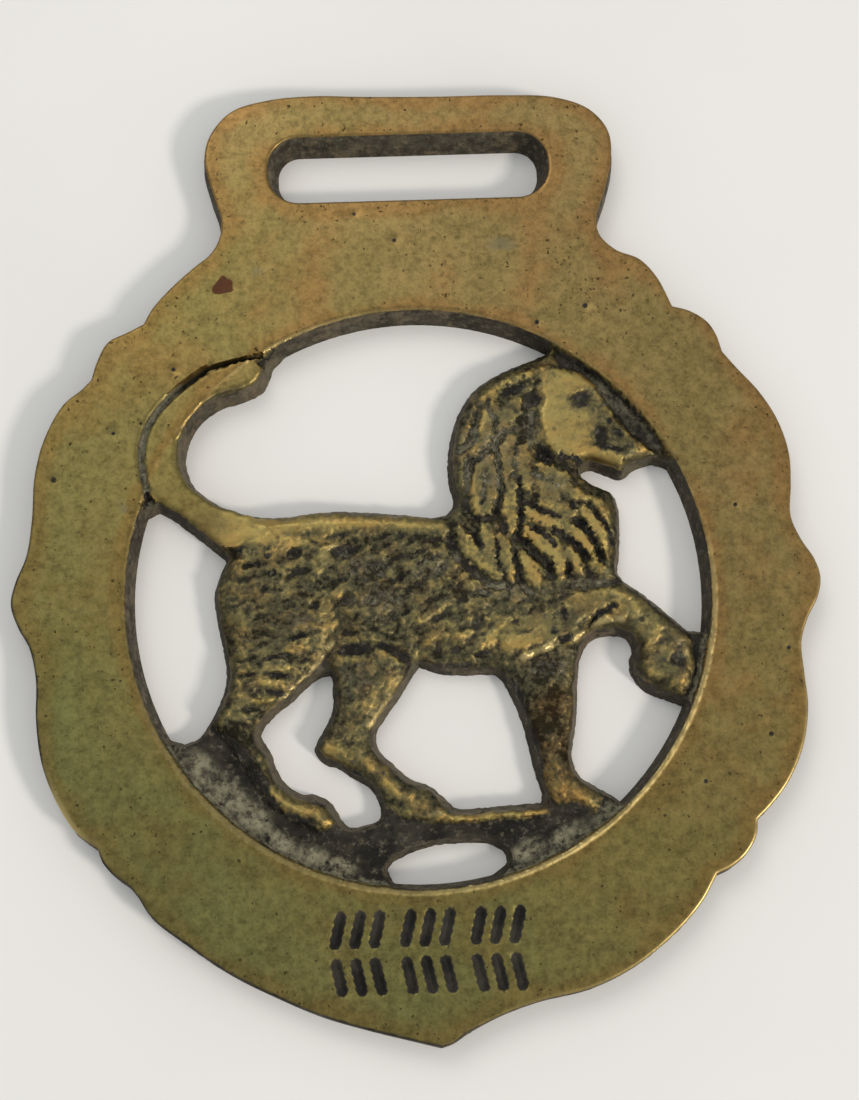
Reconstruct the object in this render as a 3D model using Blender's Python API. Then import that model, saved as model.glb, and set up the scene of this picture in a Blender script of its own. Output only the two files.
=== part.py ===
"""Cast horse brass: a scalloped ring with a strap loop on top and a pierced walking lion inside.

One solid casting. It lies on its flat back with its face up, and the strap loop points to +Y.
Lengths here are millimetres in a drawing whose origin is the middle of the round opening.
The mesh is written in metres, with the middle of the whole outline at the origin.
"""
import math

import bmesh
import bpy
import numpy as np
from mathutils import Vector
from mathutils.geometry import delaunay_2d_cdt

MM = 0.001

# Driving sizes of the casting
THICKNESS = 3.2
OPENING_RADIUS = 27.3
RING_BAND = 10.2
SLOT_LENGTH = 27.4
SLOT_HEIGHT = 6.8
SLOT_CORNER = 3.1

# The sand mould's draft: how far a wall leans out on its way from the face to the back
OUTER_DRAFT = 0.35
SLOT_DRAFT = 0.9
OPENING_DRAFT = 0.5
FIGURE_DRAFT = 0.5

# Worn edge of the ring's face
FACE_ROUND = 0.3
FACE_DROP = 0.2

# How deep the relief lies under the ring's face
GROUND_DEPTH = 1.7
FIGURE_EDGE_DEPTH = 1.3
FIGURE_EDGE_WIDTH = 0.35
TAIL_EDGE_DEPTH = 0.3

# Cut line between the tail and the ring
GROOVE_HALF_WIDTH = 0.5
GROOVE_DEPTH = 1.4

# Strokes cut in the ring under the lion: two rows of three groups of three
STROKE_LENGTH = 2.4
STROKE_WIDTH = 0.9
STROKE_DEPTH = 0.4
STROKE_PITCH = 1.75
STROKE_GROUP_PITCH = 6.3
STROKE_ROW_PITCH = 4.1
STROKE_LEAN = (14.0, -12.0)
STROKES_ALONG = -0.3
STROKES_ACROSS_BAND = 0.525

# How finely the solid is faceted
OUTLINE_STEP = 1.35
OPENING_STEP = 1.15
FIGURE_STEP = 0.86
MANE_STEP = 0.68
RING_STEP = 5.0

# The drawing is made at these sizes. The outline is stretched so that the band at the sides
# keeps its width; the lion keeps its place and proportions in the round opening.
DRAWN_RADIUS = 27.3
DRAWN_BAND = 10.2
OUTLINE_SCALE = (OPENING_RADIUS + RING_BAND) / (DRAWN_RADIUS + DRAWN_BAND)
FIGURE_SCALE = OPENING_RADIUS / DRAWN_RADIUS
SLOT_CENTRE = (0.4, 41.9)

# The ring's outline on the face, clockwise from the left foot of the strap loop.
# Each row is one lobe; lobes meet in a cusp.
LOBES = (
    ((-25.4, 26.7), (-24.5, 28.3), (-22.6, 30.4), (-20.6, 32.2), (-18.9, 33.6), (-18.0, 35.3),
     (-17.9, 37.2), (-18.7, 40.0), (-19.4, 43.3), (-18.8, 45.8), (-16.7, 48.2), (-13.0, 49.3),
     (-8.5, 49.6), (-4.0, 49.4), (3.0, 49.2), (10.0, 49.15), (15.0, 48.8), (18.3, 47.5),
     (20.1, 45.2), (20.3, 42.4), (19.4, 38.8), (18.5, 36.2), (18.7, 34.4), (20.2, 32.8),
     (22.4, 31.8), (24.0, 29.9), (25.3, 26.9)),
    ((25.3, 26.9), (26.9, 26.4), (28.5, 25.3), (29.3, 24.0), (29.8, 22.2)),
    ((29.8, 22.2), (31.2, 20.4), (33.0, 18.2), (34.6, 15.3), (35.45, 12.0), (35.4, 9.0),
     (35.15, 6.0), (35.9, 3.8), (37.1, 1.7), (37.5, 0.0), (37.1, -1.8), (36.0, -3.8),
     (35.25, -6.0), (35.3, -9.0), (35.4, -12.0), (34.7, -15.5), (33.2, -18.6), (31.5, -20.7),
     (30.0, -22.1)),
    ((30.0, -22.1), (29.8, -23.5), (28.8, -25.1), (27.4, -26.2), (26.0, -26.8)),
    ((26.0, -26.8), (24.5, -29.2), (22.0, -31.8), (18.0, -34.7), (14.0, -36.4), (9.5, -37.3),
     (6.0, -38.4), (3.0, -39.8), (1.5, -40.7), (0.6, -41.0)),
    ((0.6, -41.0), (-2.0, -40.3), (-6.0, -39.2), (-10.0, -37.9), (-14.0, -36.1), (-18.0, -34.0),
     (-22.0, -31.2), (-25.0, -28.8), (-26.1, -27.1)),
    ((-26.1, -27.1), (-26.9, -26.1), (-28.3, -25.0), (-29.3, -23.9), (-29.8, -22.6)),
    ((-29.8, -22.6), (-31.8, -21.0), (-33.4, -18.5), (-34.8, -15.0), (-35.4, -11.0),
     (-35.45, -7.0), (-36.1, -4.0), (-37.2, -2.0), (-37.8, 0.0), (-37.4, 2.0), (-36.4, 4.5),
     (-35.9, 8.0), (-35.7, 12.0), (-34.8, 15.7), (-33.0, 19.0), (-31.3, 20.4), (-30.4, 21.3)),
    ((-30.4, 21.3), (-29.8, 23.2), (-28.8, 25.0), (-27.0, 25.9), (-25.4, 26.7)),
)

# The openings around the lion, on the back. An "arc" row follows the round opening between
# two angles in degrees, a "curve" row is a smooth line along the lion.
OVER_BACK = (
    ("arc", 60.5, 117.0),
    ("curve", ((-13.3, 22.7), (-13.7, 21.6), (-14.5, 20.3), (-15.9, 19.6), (-18.3, 18.9),
               (-20.4, 17.4), (-21.6, 15.2), (-21.8, 13.2), (-21.0, 11.2), (-19.1, 9.6),
               (-16.3, 8.4), (-13.7, 8.0), (-8.1, 8.4), (-3.5, 8.1), (1.6, 7.5))),
    ("curve", ((2.9, 7.7), (3.6, 8.7), (3.2, 10.7), (3.3, 13.8), (4.2, 17.1), (5.9, 19.8),
               (8.7, 21.6), (11.3, 22.6))),
)
BEHIND_RUMP = (
    ("arc", 162.0, 208.5),
    ("curve", ((-22.2, -13.2), (-20.9, -12.7), (-19.5, -10.7), (-18.4, -8.1), (-18.3, -6.1),
               (-18.9, -2.8), (-19.3, 0.5), (-18.8, 2.5))),
    ("curve", ((-18.1, 3.9), (-20.9, 6.3), (-22.9, 7.9), (-24.3, 8.8))),
)
BETWEEN_HIND_LEGS = (
    ("curve", ((-9.5, -7.5), (-8.5, -7.4), (-8.4, -8.8), (-8.4, -10.5), (-9.2, -12.2),
               (-10.2, -14.2), (-9.4, -15.5), (-8.1, -16.0), (-6.6, -17.0), (-5.1, -18.0),
               (-4.3, -19.6), (-4.4, -20.8), (-5.6, -21.2), (-7.1, -21.4), (-7.9, -20.6),
               (-8.8, -19.1), (-10.2, -18.3), (-11.4, -18.2), (-12.7, -17.4), (-13.7, -16.0),
               (-14.2, -14.4), (-15.1, -12.6), (-13.8, -10.9), (-12.2, -9.7), (-10.8, -8.4))),
)
UNDER_BELLY = (
    ("curve", ((-0.2, -6.8), (1.7, -7.5), (4.3, -7.7), (6.7, -7.7))),
    ("curve", ((7.5, -8.3), (8.4, -10.2), (9.2, -12.4), (9.7, -14.8), (10.2, -17.2),
               (10.7, -18.9))),
    ("curve", ((10.6, -19.8), (7.2, -19.9), (3.9, -20.1), (2.6, -20.0))),
    ("curve", ((1.7, -19.0), (0.4, -17.9), (-1.3, -17.2), (-3.0, -15.7), (-4.3, -14.2),
               (-4.4, -12.9), (-3.4, -11.3), (-1.9, -9.3), (-0.9, -7.6))),
)
UNDER_RAISED_LEG = (
    ("arc", 312.0, 335.0),
    ("curve", ((23.2, -10.9), (20.8, -9.8), (19.7, -8.4), (19.5, -7.1), (19.8, -5.8),
               (19.2, -4.7), (17.4, -4.5), (16.0, -4.9), (15.0, -6.4), (14.6, -8.6),
               (14.3, -12.2), (13.7, -15.8), (14.3, -17.4), (15.8, -18.5), (17.2, -19.3))),
)
UNDER_CHIN = (
    ("arc", 350.6, 385.5),
    ("curve", ((22.8, 12.0), (21.1, 11.5), (19.7, 10.6), (18.2, 11.1), (16.7, 11.6),
               (15.9, 11.2), (16.6, 10.5), (17.6, 9.9), (18.6, 9.5), (19.2, 8.5), (19.4, 6.2),
               (19.2, 3.6), (18.9, 1.5))),
    ("curve", ((19.4, 0.8), (21.5, -0.8), (23.5, -2.6), (25.2, -4.2))),
)
UNDER_FEET = (
    ("curve", ((-3.8, -25.4), (-3.2, -24.7), (-1.5, -23.9), (0.9, -23.3), (3.4, -23.2),
               (5.7, -23.4), (7.0, -24.2), (7.2, -25.0), (6.3, -25.9))),
    ("arc", -77.5, -97.0),
)
OPENINGS = (OVER_BACK, BEHIND_RUMP, BETWEEN_HIND_LEGS, UNDER_BELLY, UNDER_RAISED_LEG,
            UNDER_CHIN, UNDER_FEET)

# The lion's masses drawn as closed curves: how far under the face the mass ends, over what
# width from its edge it rises, and the curve. Past an opening its edge is used instead.
TRUNK = (0.15, 6.0, ((-18.0, 9.0), (-8.0, 9.5), (2.0, 8.5), (8.0, 8.0), (15.0, 4.0), (17.0, 0.0),
                    (15.0, -4.0), (11.5, -6.9), (6.0, -8.4), (1.0, -8.0), (-2.0, -6.2),
                    (-6.0, -5.2), (-10.0, -5.0), (-14.0, 0.0)))
HAUNCH = (0.0, 4.0, ((-12.0, 8.5), (-8.2, 5.2), (-9.0, 2.5), (-8.6, 0.0), (-7.8, -2.5),
                     (-8.3, -4.7), (-10.2, -6.7), (-12.4, -9.2), (-14.5, -11.1), (-16.4, -13.2),
                     (-18.6, -12.6), (-20.5, -9.0), (-20.5, -2.0), (-20.0, 3.0),
                     (-18.0, 7.0)))
MANE = (0.1, 3.2, ((12.5, 23.8), (6.0, 22.0), (2.5, 17.0), (1.5, 12.0), (2.2, 8.0), (3.1, 5.2),
                   (3.8, 3.0), (5.4, 1.1), (7.5, 0.1), (9.5, -0.7), (11.2, -0.9), (13.2, -0.1),
                   (15.5, 0.4), (18.0, 0.5), (21.0, 1.5), (21.5, 5.0), (20.5, 9.8),
                   (16.5, 11.2), (13.6, 12.2), (12.2, 14.0), (11.5, 17.0), (11.9, 20.2)))
HEAD = (0.0, 1.0, ((12.1, 21.4), (14.5, 21.3), (16.5, 20.7), (18.0, 19.3), (19.3, 17.0),
                   (20.8, 14.9), (22.5, 13.4), (23.0, 12.2), (21.5, 10.5), (19.6, 9.4),
                   (17.0, 10.6), (14.0, 12.0), (12.6, 13.2), (12.0, 15.5), (12.1, 18.5)))
CURVED_MASSES = (TRUNK, HAUNCH, MANE, HEAD)

# Masses drawn as round limbs: the same two sizes, then points with a half width at each
BACK_RIDGE = (0.05, 1.1, ((-19.0, 6.9, 1.9), (-15.0, 6.3, 1.7), (-10.0, 6.7, 1.3),
                          (-4.0, 6.7, 1.2), (2.0, 6.0, 1.2)))
NEAR_HIND_LEG = (0.1, 1.6, ((-17.6, -9.5, 2.6), (-17.0, -12.2, 1.7), (-15.6, -14.8, 1.4),
                            (-14.8, -16.8, 1.4), (-13.4, -18.8, 1.6), (-11.4, -20.0, 1.7),
                            (-9.6, -20.9, 1.5)))
FAR_HIND_LEG = (0.45, 2.2, ((-5.0, -6.0, 3.6), (-5.2, -9.0, 3.6), (-6.4, -12.0, 3.2),
                            (-7.0, -14.0, 3.2), (-5.2, -16.0, 2.0), (-3.2, -17.6, 1.8),
                            (-1.6, -19.2, 1.7), (0.6, -20.0, 1.4)))
FORELEG = (0.45, 2.4, ((10.8, -6.0, 4.2), (11.6, -9.0, 3.6), (11.9, -13.0, 2.6),
                       (12.0, -16.5, 2.0), (12.8, -18.6, 1.7), (15.0, -19.8, 1.2)))
RAISED_LEG = (0.0, 1.9, ((9.5, -4.2, 3.0), (13.0, -3.4, 2.9), (16.5, -2.3, 2.4),
                         (19.0, -2.2, 2.4), (21.2, -3.8, 2.5), (22.4, -6.2, 3.0),
                         (22.5, -8.2, 2.9)))
LIMBS = (BACK_RIDGE, NEAR_HIND_LEG, FAR_HIND_LEG, FORELEG, RAISED_LEG)

TAIL_ROUND = 0.35
TAIL = ((-15.7, 21.5, 1.5), (-18.2, 21.2, 1.5), (-20.8, 19.9, 1.6), (-22.6, 17.9, 1.65),
        (-23.7, 15.6, 1.7), (-24.0, 13.2, 1.8), (-23.5, 11.2, 1.9), (-22.3, 9.7, 2.0),
        (-20.4, 8.2, 2.1), (-17.5, 6.8, 2.2))
TAIL_GROOVE = ((-14.3, 23.3), (-17.0, 22.7), (-19.4, 22.0), (-21.2, 20.8), (-22.8, 19.5),
               (-24.4, 17.7), (-25.4, 15.7), (-25.7, 13.5), (-25.5, 11.8), (-25.2, 10.2),
               (-25.0, 8.8))

# Hollows in the head: place, radius, depth
HOLLOWS = ((15.9, 18.0, 0.9, 0.5), (17.7, 14.3, 1.2, 0.5), (10.8, 18.2, 1.3, 0.6),
           (12.4, 12.6, 0.9, 0.9), (5.9, 14.3, 0.8, 0.4))

# Locks of the mane as raised lines
LOCK_HALF_WIDTH = 0.75
LOCK_RISE = 0.3
LOCK_GAP_DEPTH = 0.45
LOCKS = (
    ((9.6, 20.6), (6.8, 18.9), (5.3, 16.4), (4.5, 14.0)),
    ((9.4, 18.0), (7.5, 16.6), (6.7, 14.8), (5.6, 12.6)),
    ((7.6, 12.6), (6.5, 10.8), (6.0, 8.8), (5.9, 6.8)),
    ((9.6, 13.8), (8.6, 12.0), (8.4, 10.2), (8.9, 8.0), (8.4, 5.6)),
    ((4.6, 5.4), (5.3, 3.8), (6.6, 2.2), (7.8, 1.4)),
    ((6.7, 5.6), (7.6, 3.8), (8.5, 1.6)),
    ((10.2, 4.9), (11.8, 3.6), (13.1, 2.2), (13.3, 0.7)),
    ((10.6, 7.2), (12.9, 6.0), (15.0, 4.6), (16.3, 2.4)),
    ((12.0, 9.8), (14.0, 8.2), (15.8, 7.0), (17.4, 4.8), (17.7, 2.6)),
    ((9.8, 3.0), (10.4, 1.6), (10.9, 0.2)),
)


def smooth_line(points, step, closed=False):
    """Evenly spaced points on a smooth curve through the given ones (centripetal)."""
    pts = np.array(points, float)
    if closed:
        pts = np.vstack((pts[-1], pts, pts[0], pts[1]))
    else:
        pts = np.vstack((2 * pts[0] - pts[1], pts, 2 * pts[-1] - pts[-2]))
    dense = []
    for i in range(1, len(pts) - 2):
        p0, p1, p2, p3 = pts[i - 1:i + 3]
        k0 = 0.0
        k1 = k0 + math.sqrt(math.dist(p0, p1))
        k2 = k1 + math.sqrt(math.dist(p1, p2))
        k3 = k2 + math.sqrt(math.dist(p2, p3))
        for s in np.linspace(k1, k2, 16, endpoint=False):
            a1 = p0 * (k1 - s) / (k1 - k0) + p1 * (s - k0) / (k1 - k0)
            a2 = p1 * (k2 - s) / (k2 - k1) + p2 * (s - k1) / (k2 - k1)
            a3 = p2 * (k3 - s) / (k3 - k2) + p3 * (s - k2) / (k3 - k2)
            b1 = a1 * (k2 - s) / (k2 - k0) + a2 * (s - k0) / (k2 - k0)
            b2 = a2 * (k3 - s) / (k3 - k1) + a3 * (s - k1) / (k3 - k1)
            dense.append(b1 * (k2 - s) / (k2 - k1) + b2 * (s - k1) / (k2 - k1))
    dense.append(pts[-2])
    return even_line(np.array(dense), step)


def even_line(line, step):
    """The same line with its points about one step apart; both ends are kept."""
    length = np.concatenate(([0.0], np.cumsum(np.hypot(*np.diff(line, axis=0).T))))
    count = max(1, int(round(length[-1] / step)))
    at = np.linspace(0.0, length[-1], count + 1)
    return np.column_stack((np.interp(at, length, line[:, 0]), np.interp(at, length, line[:, 1])))


def arc_line(start, end, radius, step):
    """Points on a circle about the drawing's origin, between two angles in degrees."""
    count = max(2, int(round(abs(math.radians(end - start)) * radius / step)))
    at = np.radians(np.linspace(start, end, count + 1))
    return radius * np.column_stack((np.cos(at), np.sin(at)))


def outline_loop(step):
    """The ring's outline on the face."""
    rows = [smooth_line(np.array(lobe) * OUTLINE_SCALE, step)[:-1] for lobe in LOBES]
    return np.vstack(rows)


def slot_loop(step):
    """The strap slot on the face: a rounded oblong."""
    rows = []
    corner = min(SLOT_CORNER, 0.49 * SLOT_HEIGHT)
    half_x = SLOT_LENGTH / 2 - corner
    half_y = SLOT_HEIGHT / 2 - corner
    for quarter, (sx, sy) in enumerate(((1, 1), (-1, 1), (-1, -1), (1, -1))):
        for turn in np.radians(np.linspace(90 * quarter, 90 * quarter + 90, 7)):
            rows.append((SLOT_CENTRE[0] * OUTLINE_SCALE + sx * half_x + corner * math.cos(turn),
                         SLOT_CENTRE[1] * OUTLINE_SCALE + sy * half_y + corner * math.sin(turn)))
    rows.append(rows[0])
    return even_line(np.array(rows), step)[:-1]


def opening_loop(rows, step):
    """One opening of the figure, on the back."""
    lines = []
    single = len(rows) == 1
    for kind, *data in rows:
        if kind == "arc":
            lines.append(arc_line(data[0], data[1], OPENING_RADIUS - OPENING_DRAFT, step))
        else:
            line = smooth_line(np.array(data[0]) * FIGURE_SCALE, step, closed=single)
            lines.append(line[:-1] if single else line)
    return np.vstack(lines)


def area_of(loop):
    x, y = loop.T
    return 0.5 * float(np.sum(x * np.roll(y, -1) - np.roll(x, -1) * y))


def grown(loop, distances):
    """The loop moved away from what it encloses; each point has its own distance."""
    ahead = np.roll(loop, -1, axis=0) - loop
    ahead /= np.hypot(*ahead.T)[:, None]
    behind = np.roll(ahead, 1, axis=0)
    side = 1.0 if area_of(loop) > 0 else -1.0
    normal = np.column_stack((ahead[:, 1] + behind[:, 1], -ahead[:, 0] - behind[:, 0]))
    size = np.hypot(*normal.T)
    normal /= size[:, None]
    reach = np.minimum(2.0 / size, 1.5)
    return loop + side * normal * (np.asarray(distances) * reach)[:, None]


def distance_to(points, line, closed=True, widths=None):
    """Distance from each point to a line; with widths, how deep it is inside a round limb."""
    start = line
    end = np.roll(line, -1, axis=0)
    if not closed:
        start = start[:-1]
        end = end[:-1]
    best = None
    for i in range(len(start)):
        run = end[i] - start[i]
        long = float(run @ run)
        share = np.clip(((points - start[i]) @ run) / long, 0.0, 1.0)
        away = np.hypot(*(points - start[i] - share[:, None] * run).T)
        if widths is not None:
            away = away - (widths[i] + (widths[i + 1] - widths[i]) * share)
        best = away if best is None else np.minimum(best, away)
    return best if widths is None else -best


def inside(points, loop):
    """True where a point is within a closed loop."""
    x, y = points.T
    result = np.zeros(len(points), bool)
    end = np.roll(loop, -1, axis=0)
    for (x1, y1), (x2, y2) in zip(loop, end):
        if y1 == y2:
            continue
        crosses = (y1 > y) != (y2 > y)
        result ^= crosses & (x < (x2 - x1) * (y - y1) / (y2 - y1) + x1)
    return result


def dome(depth, width):
    """Rises from 0 at a mass's edge to 1 one width inside, round like a cushion."""
    t = np.clip(depth / width, 0.0, 1.0)
    return (1.0 - (1.0 - t) ** 2) ** 0.62


def limb(data):
    rows = np.array(data, float) * FIGURE_SCALE
    return rows[:, :2], rows[:, 2]


def mass_loop(curve):
    return smooth_line(np.array(curve) * FIGURE_SCALE, 1.5, closed=True)[:-1]


def tail_groove_line(step):
    return smooth_line(np.array(TAIL_GROOVE) * FIGURE_SCALE, step)


def stroke_lines():
    """Ends of every stroke cut in the ring."""
    lines = []
    middle = -(OPENING_RADIUS + STROKES_ACROSS_BAND * RING_BAND)
    for row, lean in zip((1, -1), STROKE_LEAN):
        y = middle + row * STROKE_ROW_PITCH / 2
        dx = 0.5 * STROKE_LENGTH * math.sin(math.radians(lean))
        dy = 0.5 * STROKE_LENGTH * math.cos(math.radians(lean))
        for group in (-1, 0, 1):
            for i in (-1, 0, 1):
                x = STROKES_ALONG + group * STROKE_GROUP_PITCH + i * STROKE_PITCH
                lines.append(np.array(((x - dx, y - dy), (x + dx, y + dy))))
    return lines


def mane_relief(points, height, rim):
    """Locks and the gaps between them, only on the mane."""
    loop = mass_loop(MANE[2])
    on_mane = inside(points, loop) & (distance_to(points, loop) > 0.5)
    nearest = None
    for lock in LOCKS:
        line = smooth_line(np.array(lock) * FIGURE_SCALE, 1.0)
        away = distance_to(points, line, closed=False)
        nearest = away if nearest is None else np.minimum(nearest, away)
    lift = LOCK_RISE - (LOCK_RISE + LOCK_GAP_DEPTH) * np.clip(nearest / LOCK_HALF_WIDTH - 0.4,
                                                              0.0, 1.0)
    lift *= np.clip(rim / 1.0, 0.0, 1.0)
    return np.where(on_mane, np.minimum(height + lift, THICKNESS), height)


def cushion(depth, sunk, width):
    """Height of one mass of the figure, from how deep a point is inside the mass."""
    ground = THICKNESS - GROUND_DEPTH
    edge = THICKNESS - FIGURE_EDGE_DEPTH
    top = edge + (FIGURE_EDGE_DEPTH - sunk) * dome(depth, width)
    foot = np.clip((depth + FIGURE_EDGE_WIDTH) / FIGURE_EDGE_WIDTH, 0.0, 1.0)
    return ground + (top - ground) * foot


def relief(points, openings, outer, slot):
    """Height of the front surface over the back at each point of the drawing."""
    from_middle = np.hypot(*points.T)
    rim = distance_to(points, openings[0])
    for loop in openings[1:]:
        rim = np.minimum(rim, distance_to(points, loop))

    # Sunk ground, then the masses of the figure, each a cushion over its own edge
    ground = THICKNESS - GROUND_DEPTH
    height = np.full(len(points), ground)
    for sunk, width, curve in CURVED_MASSES:
        loop = mass_loop(curve)
        depth = np.where(inside(points, loop), distance_to(points, loop), -1.0)
        rise = width * FIGURE_SCALE
        height = np.maximum(height, cushion(np.minimum(depth, rim), sunk, rise))
    for sunk, width, data in LIMBS:
        line, widths = limb(data)
        depth = distance_to(points, line, closed=False, widths=widths)
        rise = width * FIGURE_SCALE
        height = np.maximum(height, cushion(np.minimum(depth, rim), sunk, rise))
    height = mane_relief(points, height, rim)
    for x, y, radius, deep in HOLLOWS:
        away = np.hypot(points[:, 0] - x * FIGURE_SCALE, points[:, 1] - y * FIGURE_SCALE)
        away = away / (radius * FIGURE_SCALE)
        height = height - deep * np.clip(1.0 - away ** 2 * 0.5, 0.0, 1.0) ** 2
    line, widths = limb(TAIL)
    depth = distance_to(points, line, closed=False, widths=widths)
    flat = np.clip(np.minimum(depth, rim) / TAIL_ROUND, 0.0, 1.0)
    tail = THICKNESS - TAIL_EDGE_DEPTH * (1.0 - flat)
    height = np.where(depth >= 0.0, np.maximum(height, tail), height)

    # The ring: a wall up from the ground, then the flat face with a worn edge
    wall = np.clip((from_middle - OPENING_RADIUS + OPENING_DRAFT) / OPENING_DRAFT, 0.0, 1.0)
    ring = ground + (THICKNESS - FACE_DROP - ground) * wall
    edge = np.minimum(distance_to(points, outer), distance_to(points, slot))
    edge = np.minimum(edge, rim)
    edge = np.minimum(edge, np.abs(from_middle - OPENING_RADIUS))
    ring = np.where(from_middle >= OPENING_RADIUS - 1e-6,
                    THICKNESS - FACE_DROP * (1.0 - np.clip(edge / FACE_ROUND, 0.0, 1.0)), ring)
    height = np.where(from_middle > OPENING_RADIUS - OPENING_DRAFT, np.maximum(height, ring),
                      height)

    # Cut line beside the tail, and the strokes under the lion
    away = distance_to(points, tail_groove_line(1.0), closed=False)
    cut = THICKNESS - GROOVE_DEPTH * np.clip(
        (GROOVE_HALF_WIDTH - away) / (0.7 * GROOVE_HALF_WIDTH), 0.0, 1.0)
    height = np.where(away < GROOVE_HALF_WIDTH, np.minimum(height, cut), height)
    for line in stroke_lines():
        away = distance_to(points, line, closed=False)
        cut = THICKNESS - STROKE_DEPTH * np.clip(2.0 - 2.0 * away / (STROKE_WIDTH / 2), 0.0, 1.0)
        height = np.where(away < STROKE_WIDTH / 2, np.minimum(height, cut), height)
    return np.minimum(height, THICKNESS)


def crease_rows():
    """Rows of points along the lines where the relief turns sharply."""
    rows = []
    groove = tail_groove_line(0.9)
    tail, tail_widths = limb(TAIL)
    for radius in (OPENING_RADIUS, OPENING_RADIUS - OPENING_DRAFT, OPENING_RADIUS + FACE_ROUND):
        circle = arc_line(0.0, 360.0, radius, FIGURE_STEP)
        clear = distance_to(circle, groove, closed=False) > 1.2 * GROOVE_HALF_WIDTH + 0.3
        clear &= distance_to(circle, tail, closed=False, widths=tail_widths) < -0.3
        rows += runs_of(circle, clear)
    ahead = np.gradient(groove, axis=0)
    ahead /= np.hypot(*ahead.T)[:, None]
    side = np.column_stack((-ahead[:, 1], ahead[:, 0]))
    rows += [groove, groove + side * GROOVE_HALF_WIDTH, groove - side * GROOVE_HALF_WIDTH]
    for line in stroke_lines():
        run = (line[1] - line[0]) / math.dist(*line)
        side = np.array((-run[1], run[0])) * STROKE_WIDTH / 2
        tip = run * STROKE_WIDTH / 2
        rows.append(line)
        rows.append(np.array((line[0] - tip, line[0] + side, line[1] + side, line[1] + tip,
                              line[1] - side, line[0] - side, line[0] - tip)))
    return rows


def runs_of(row, keep):
    """The stretches of a row in which every point is kept."""
    runs = []
    start = None
    for i, kept in enumerate(list(keep) + [False]):
        if kept and start is None:
            start = i
        if not kept and start is not None:
            runs.append(row[start:i])
            start = None
    return runs


def hexagon_grid(low, high, step):
    rows = []
    rise = step * math.sqrt(0.75)
    for j in range(int((high[1] - low[1]) / rise) + 1):
        xs = np.arange(low[0] + (j % 2) * step / 2, high[0], step)
        rows.append(np.column_stack((xs, np.full(len(xs), low[1] + j * rise))))
    return np.vstack(rows)


def thinned(points, kept, gap):
    """Drops the points that are closer than the gap to a kept one or to one before them."""
    cells = {}
    result = []
    for group, is_kept in ((kept, True), (points, False)):
        for x, y in group:
            i, j = int(x // gap), int(y // gap)
            near = [p for a in (-1, 0, 1) for b in (-1, 0, 1) for p in cells.get((i + a, j + b), ())]
            if not is_kept and any(math.hypot(x - p[0], y - p[1]) < gap for p in near):
                continue
            cells.setdefault((i, j), []).append((x, y))
            if not is_kept:
                result.append((x, y))
    return np.array(result).reshape(-1, 2)


def triangulated(loops, extra, creases=()):
    """Triangles over the area inside the first loop and outside the others."""
    points = [Vector(p) for loop in loops for p in loop] + [Vector(p) for p in extra]
    first = sum(len(loop) for loop in loops)
    edges = [(first + a, first + b) for a, b in creases]
    start = 0
    for loop in loops:
        count = len(loop)
        edges += [(start + i, start + (i + 1) % count) for i in range(count)]
        start += count
    verts, _, faces, _, _, _ = delaunay_2d_cdt(points, edges, [], 0, 1e-5)
    if len(verts) != len(points):
        raise RuntimeError("two outlines of the casting touch each other")
    flat = np.array([v[:] for v in verts])
    faces = np.array([f[:] for f in faces])
    middle = flat[faces].mean(axis=1)
    keep = inside(middle, loops[0])
    for loop in loops[1:]:
        keep &= ~inside(middle, loop)
    return flat, faces[keep]


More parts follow.
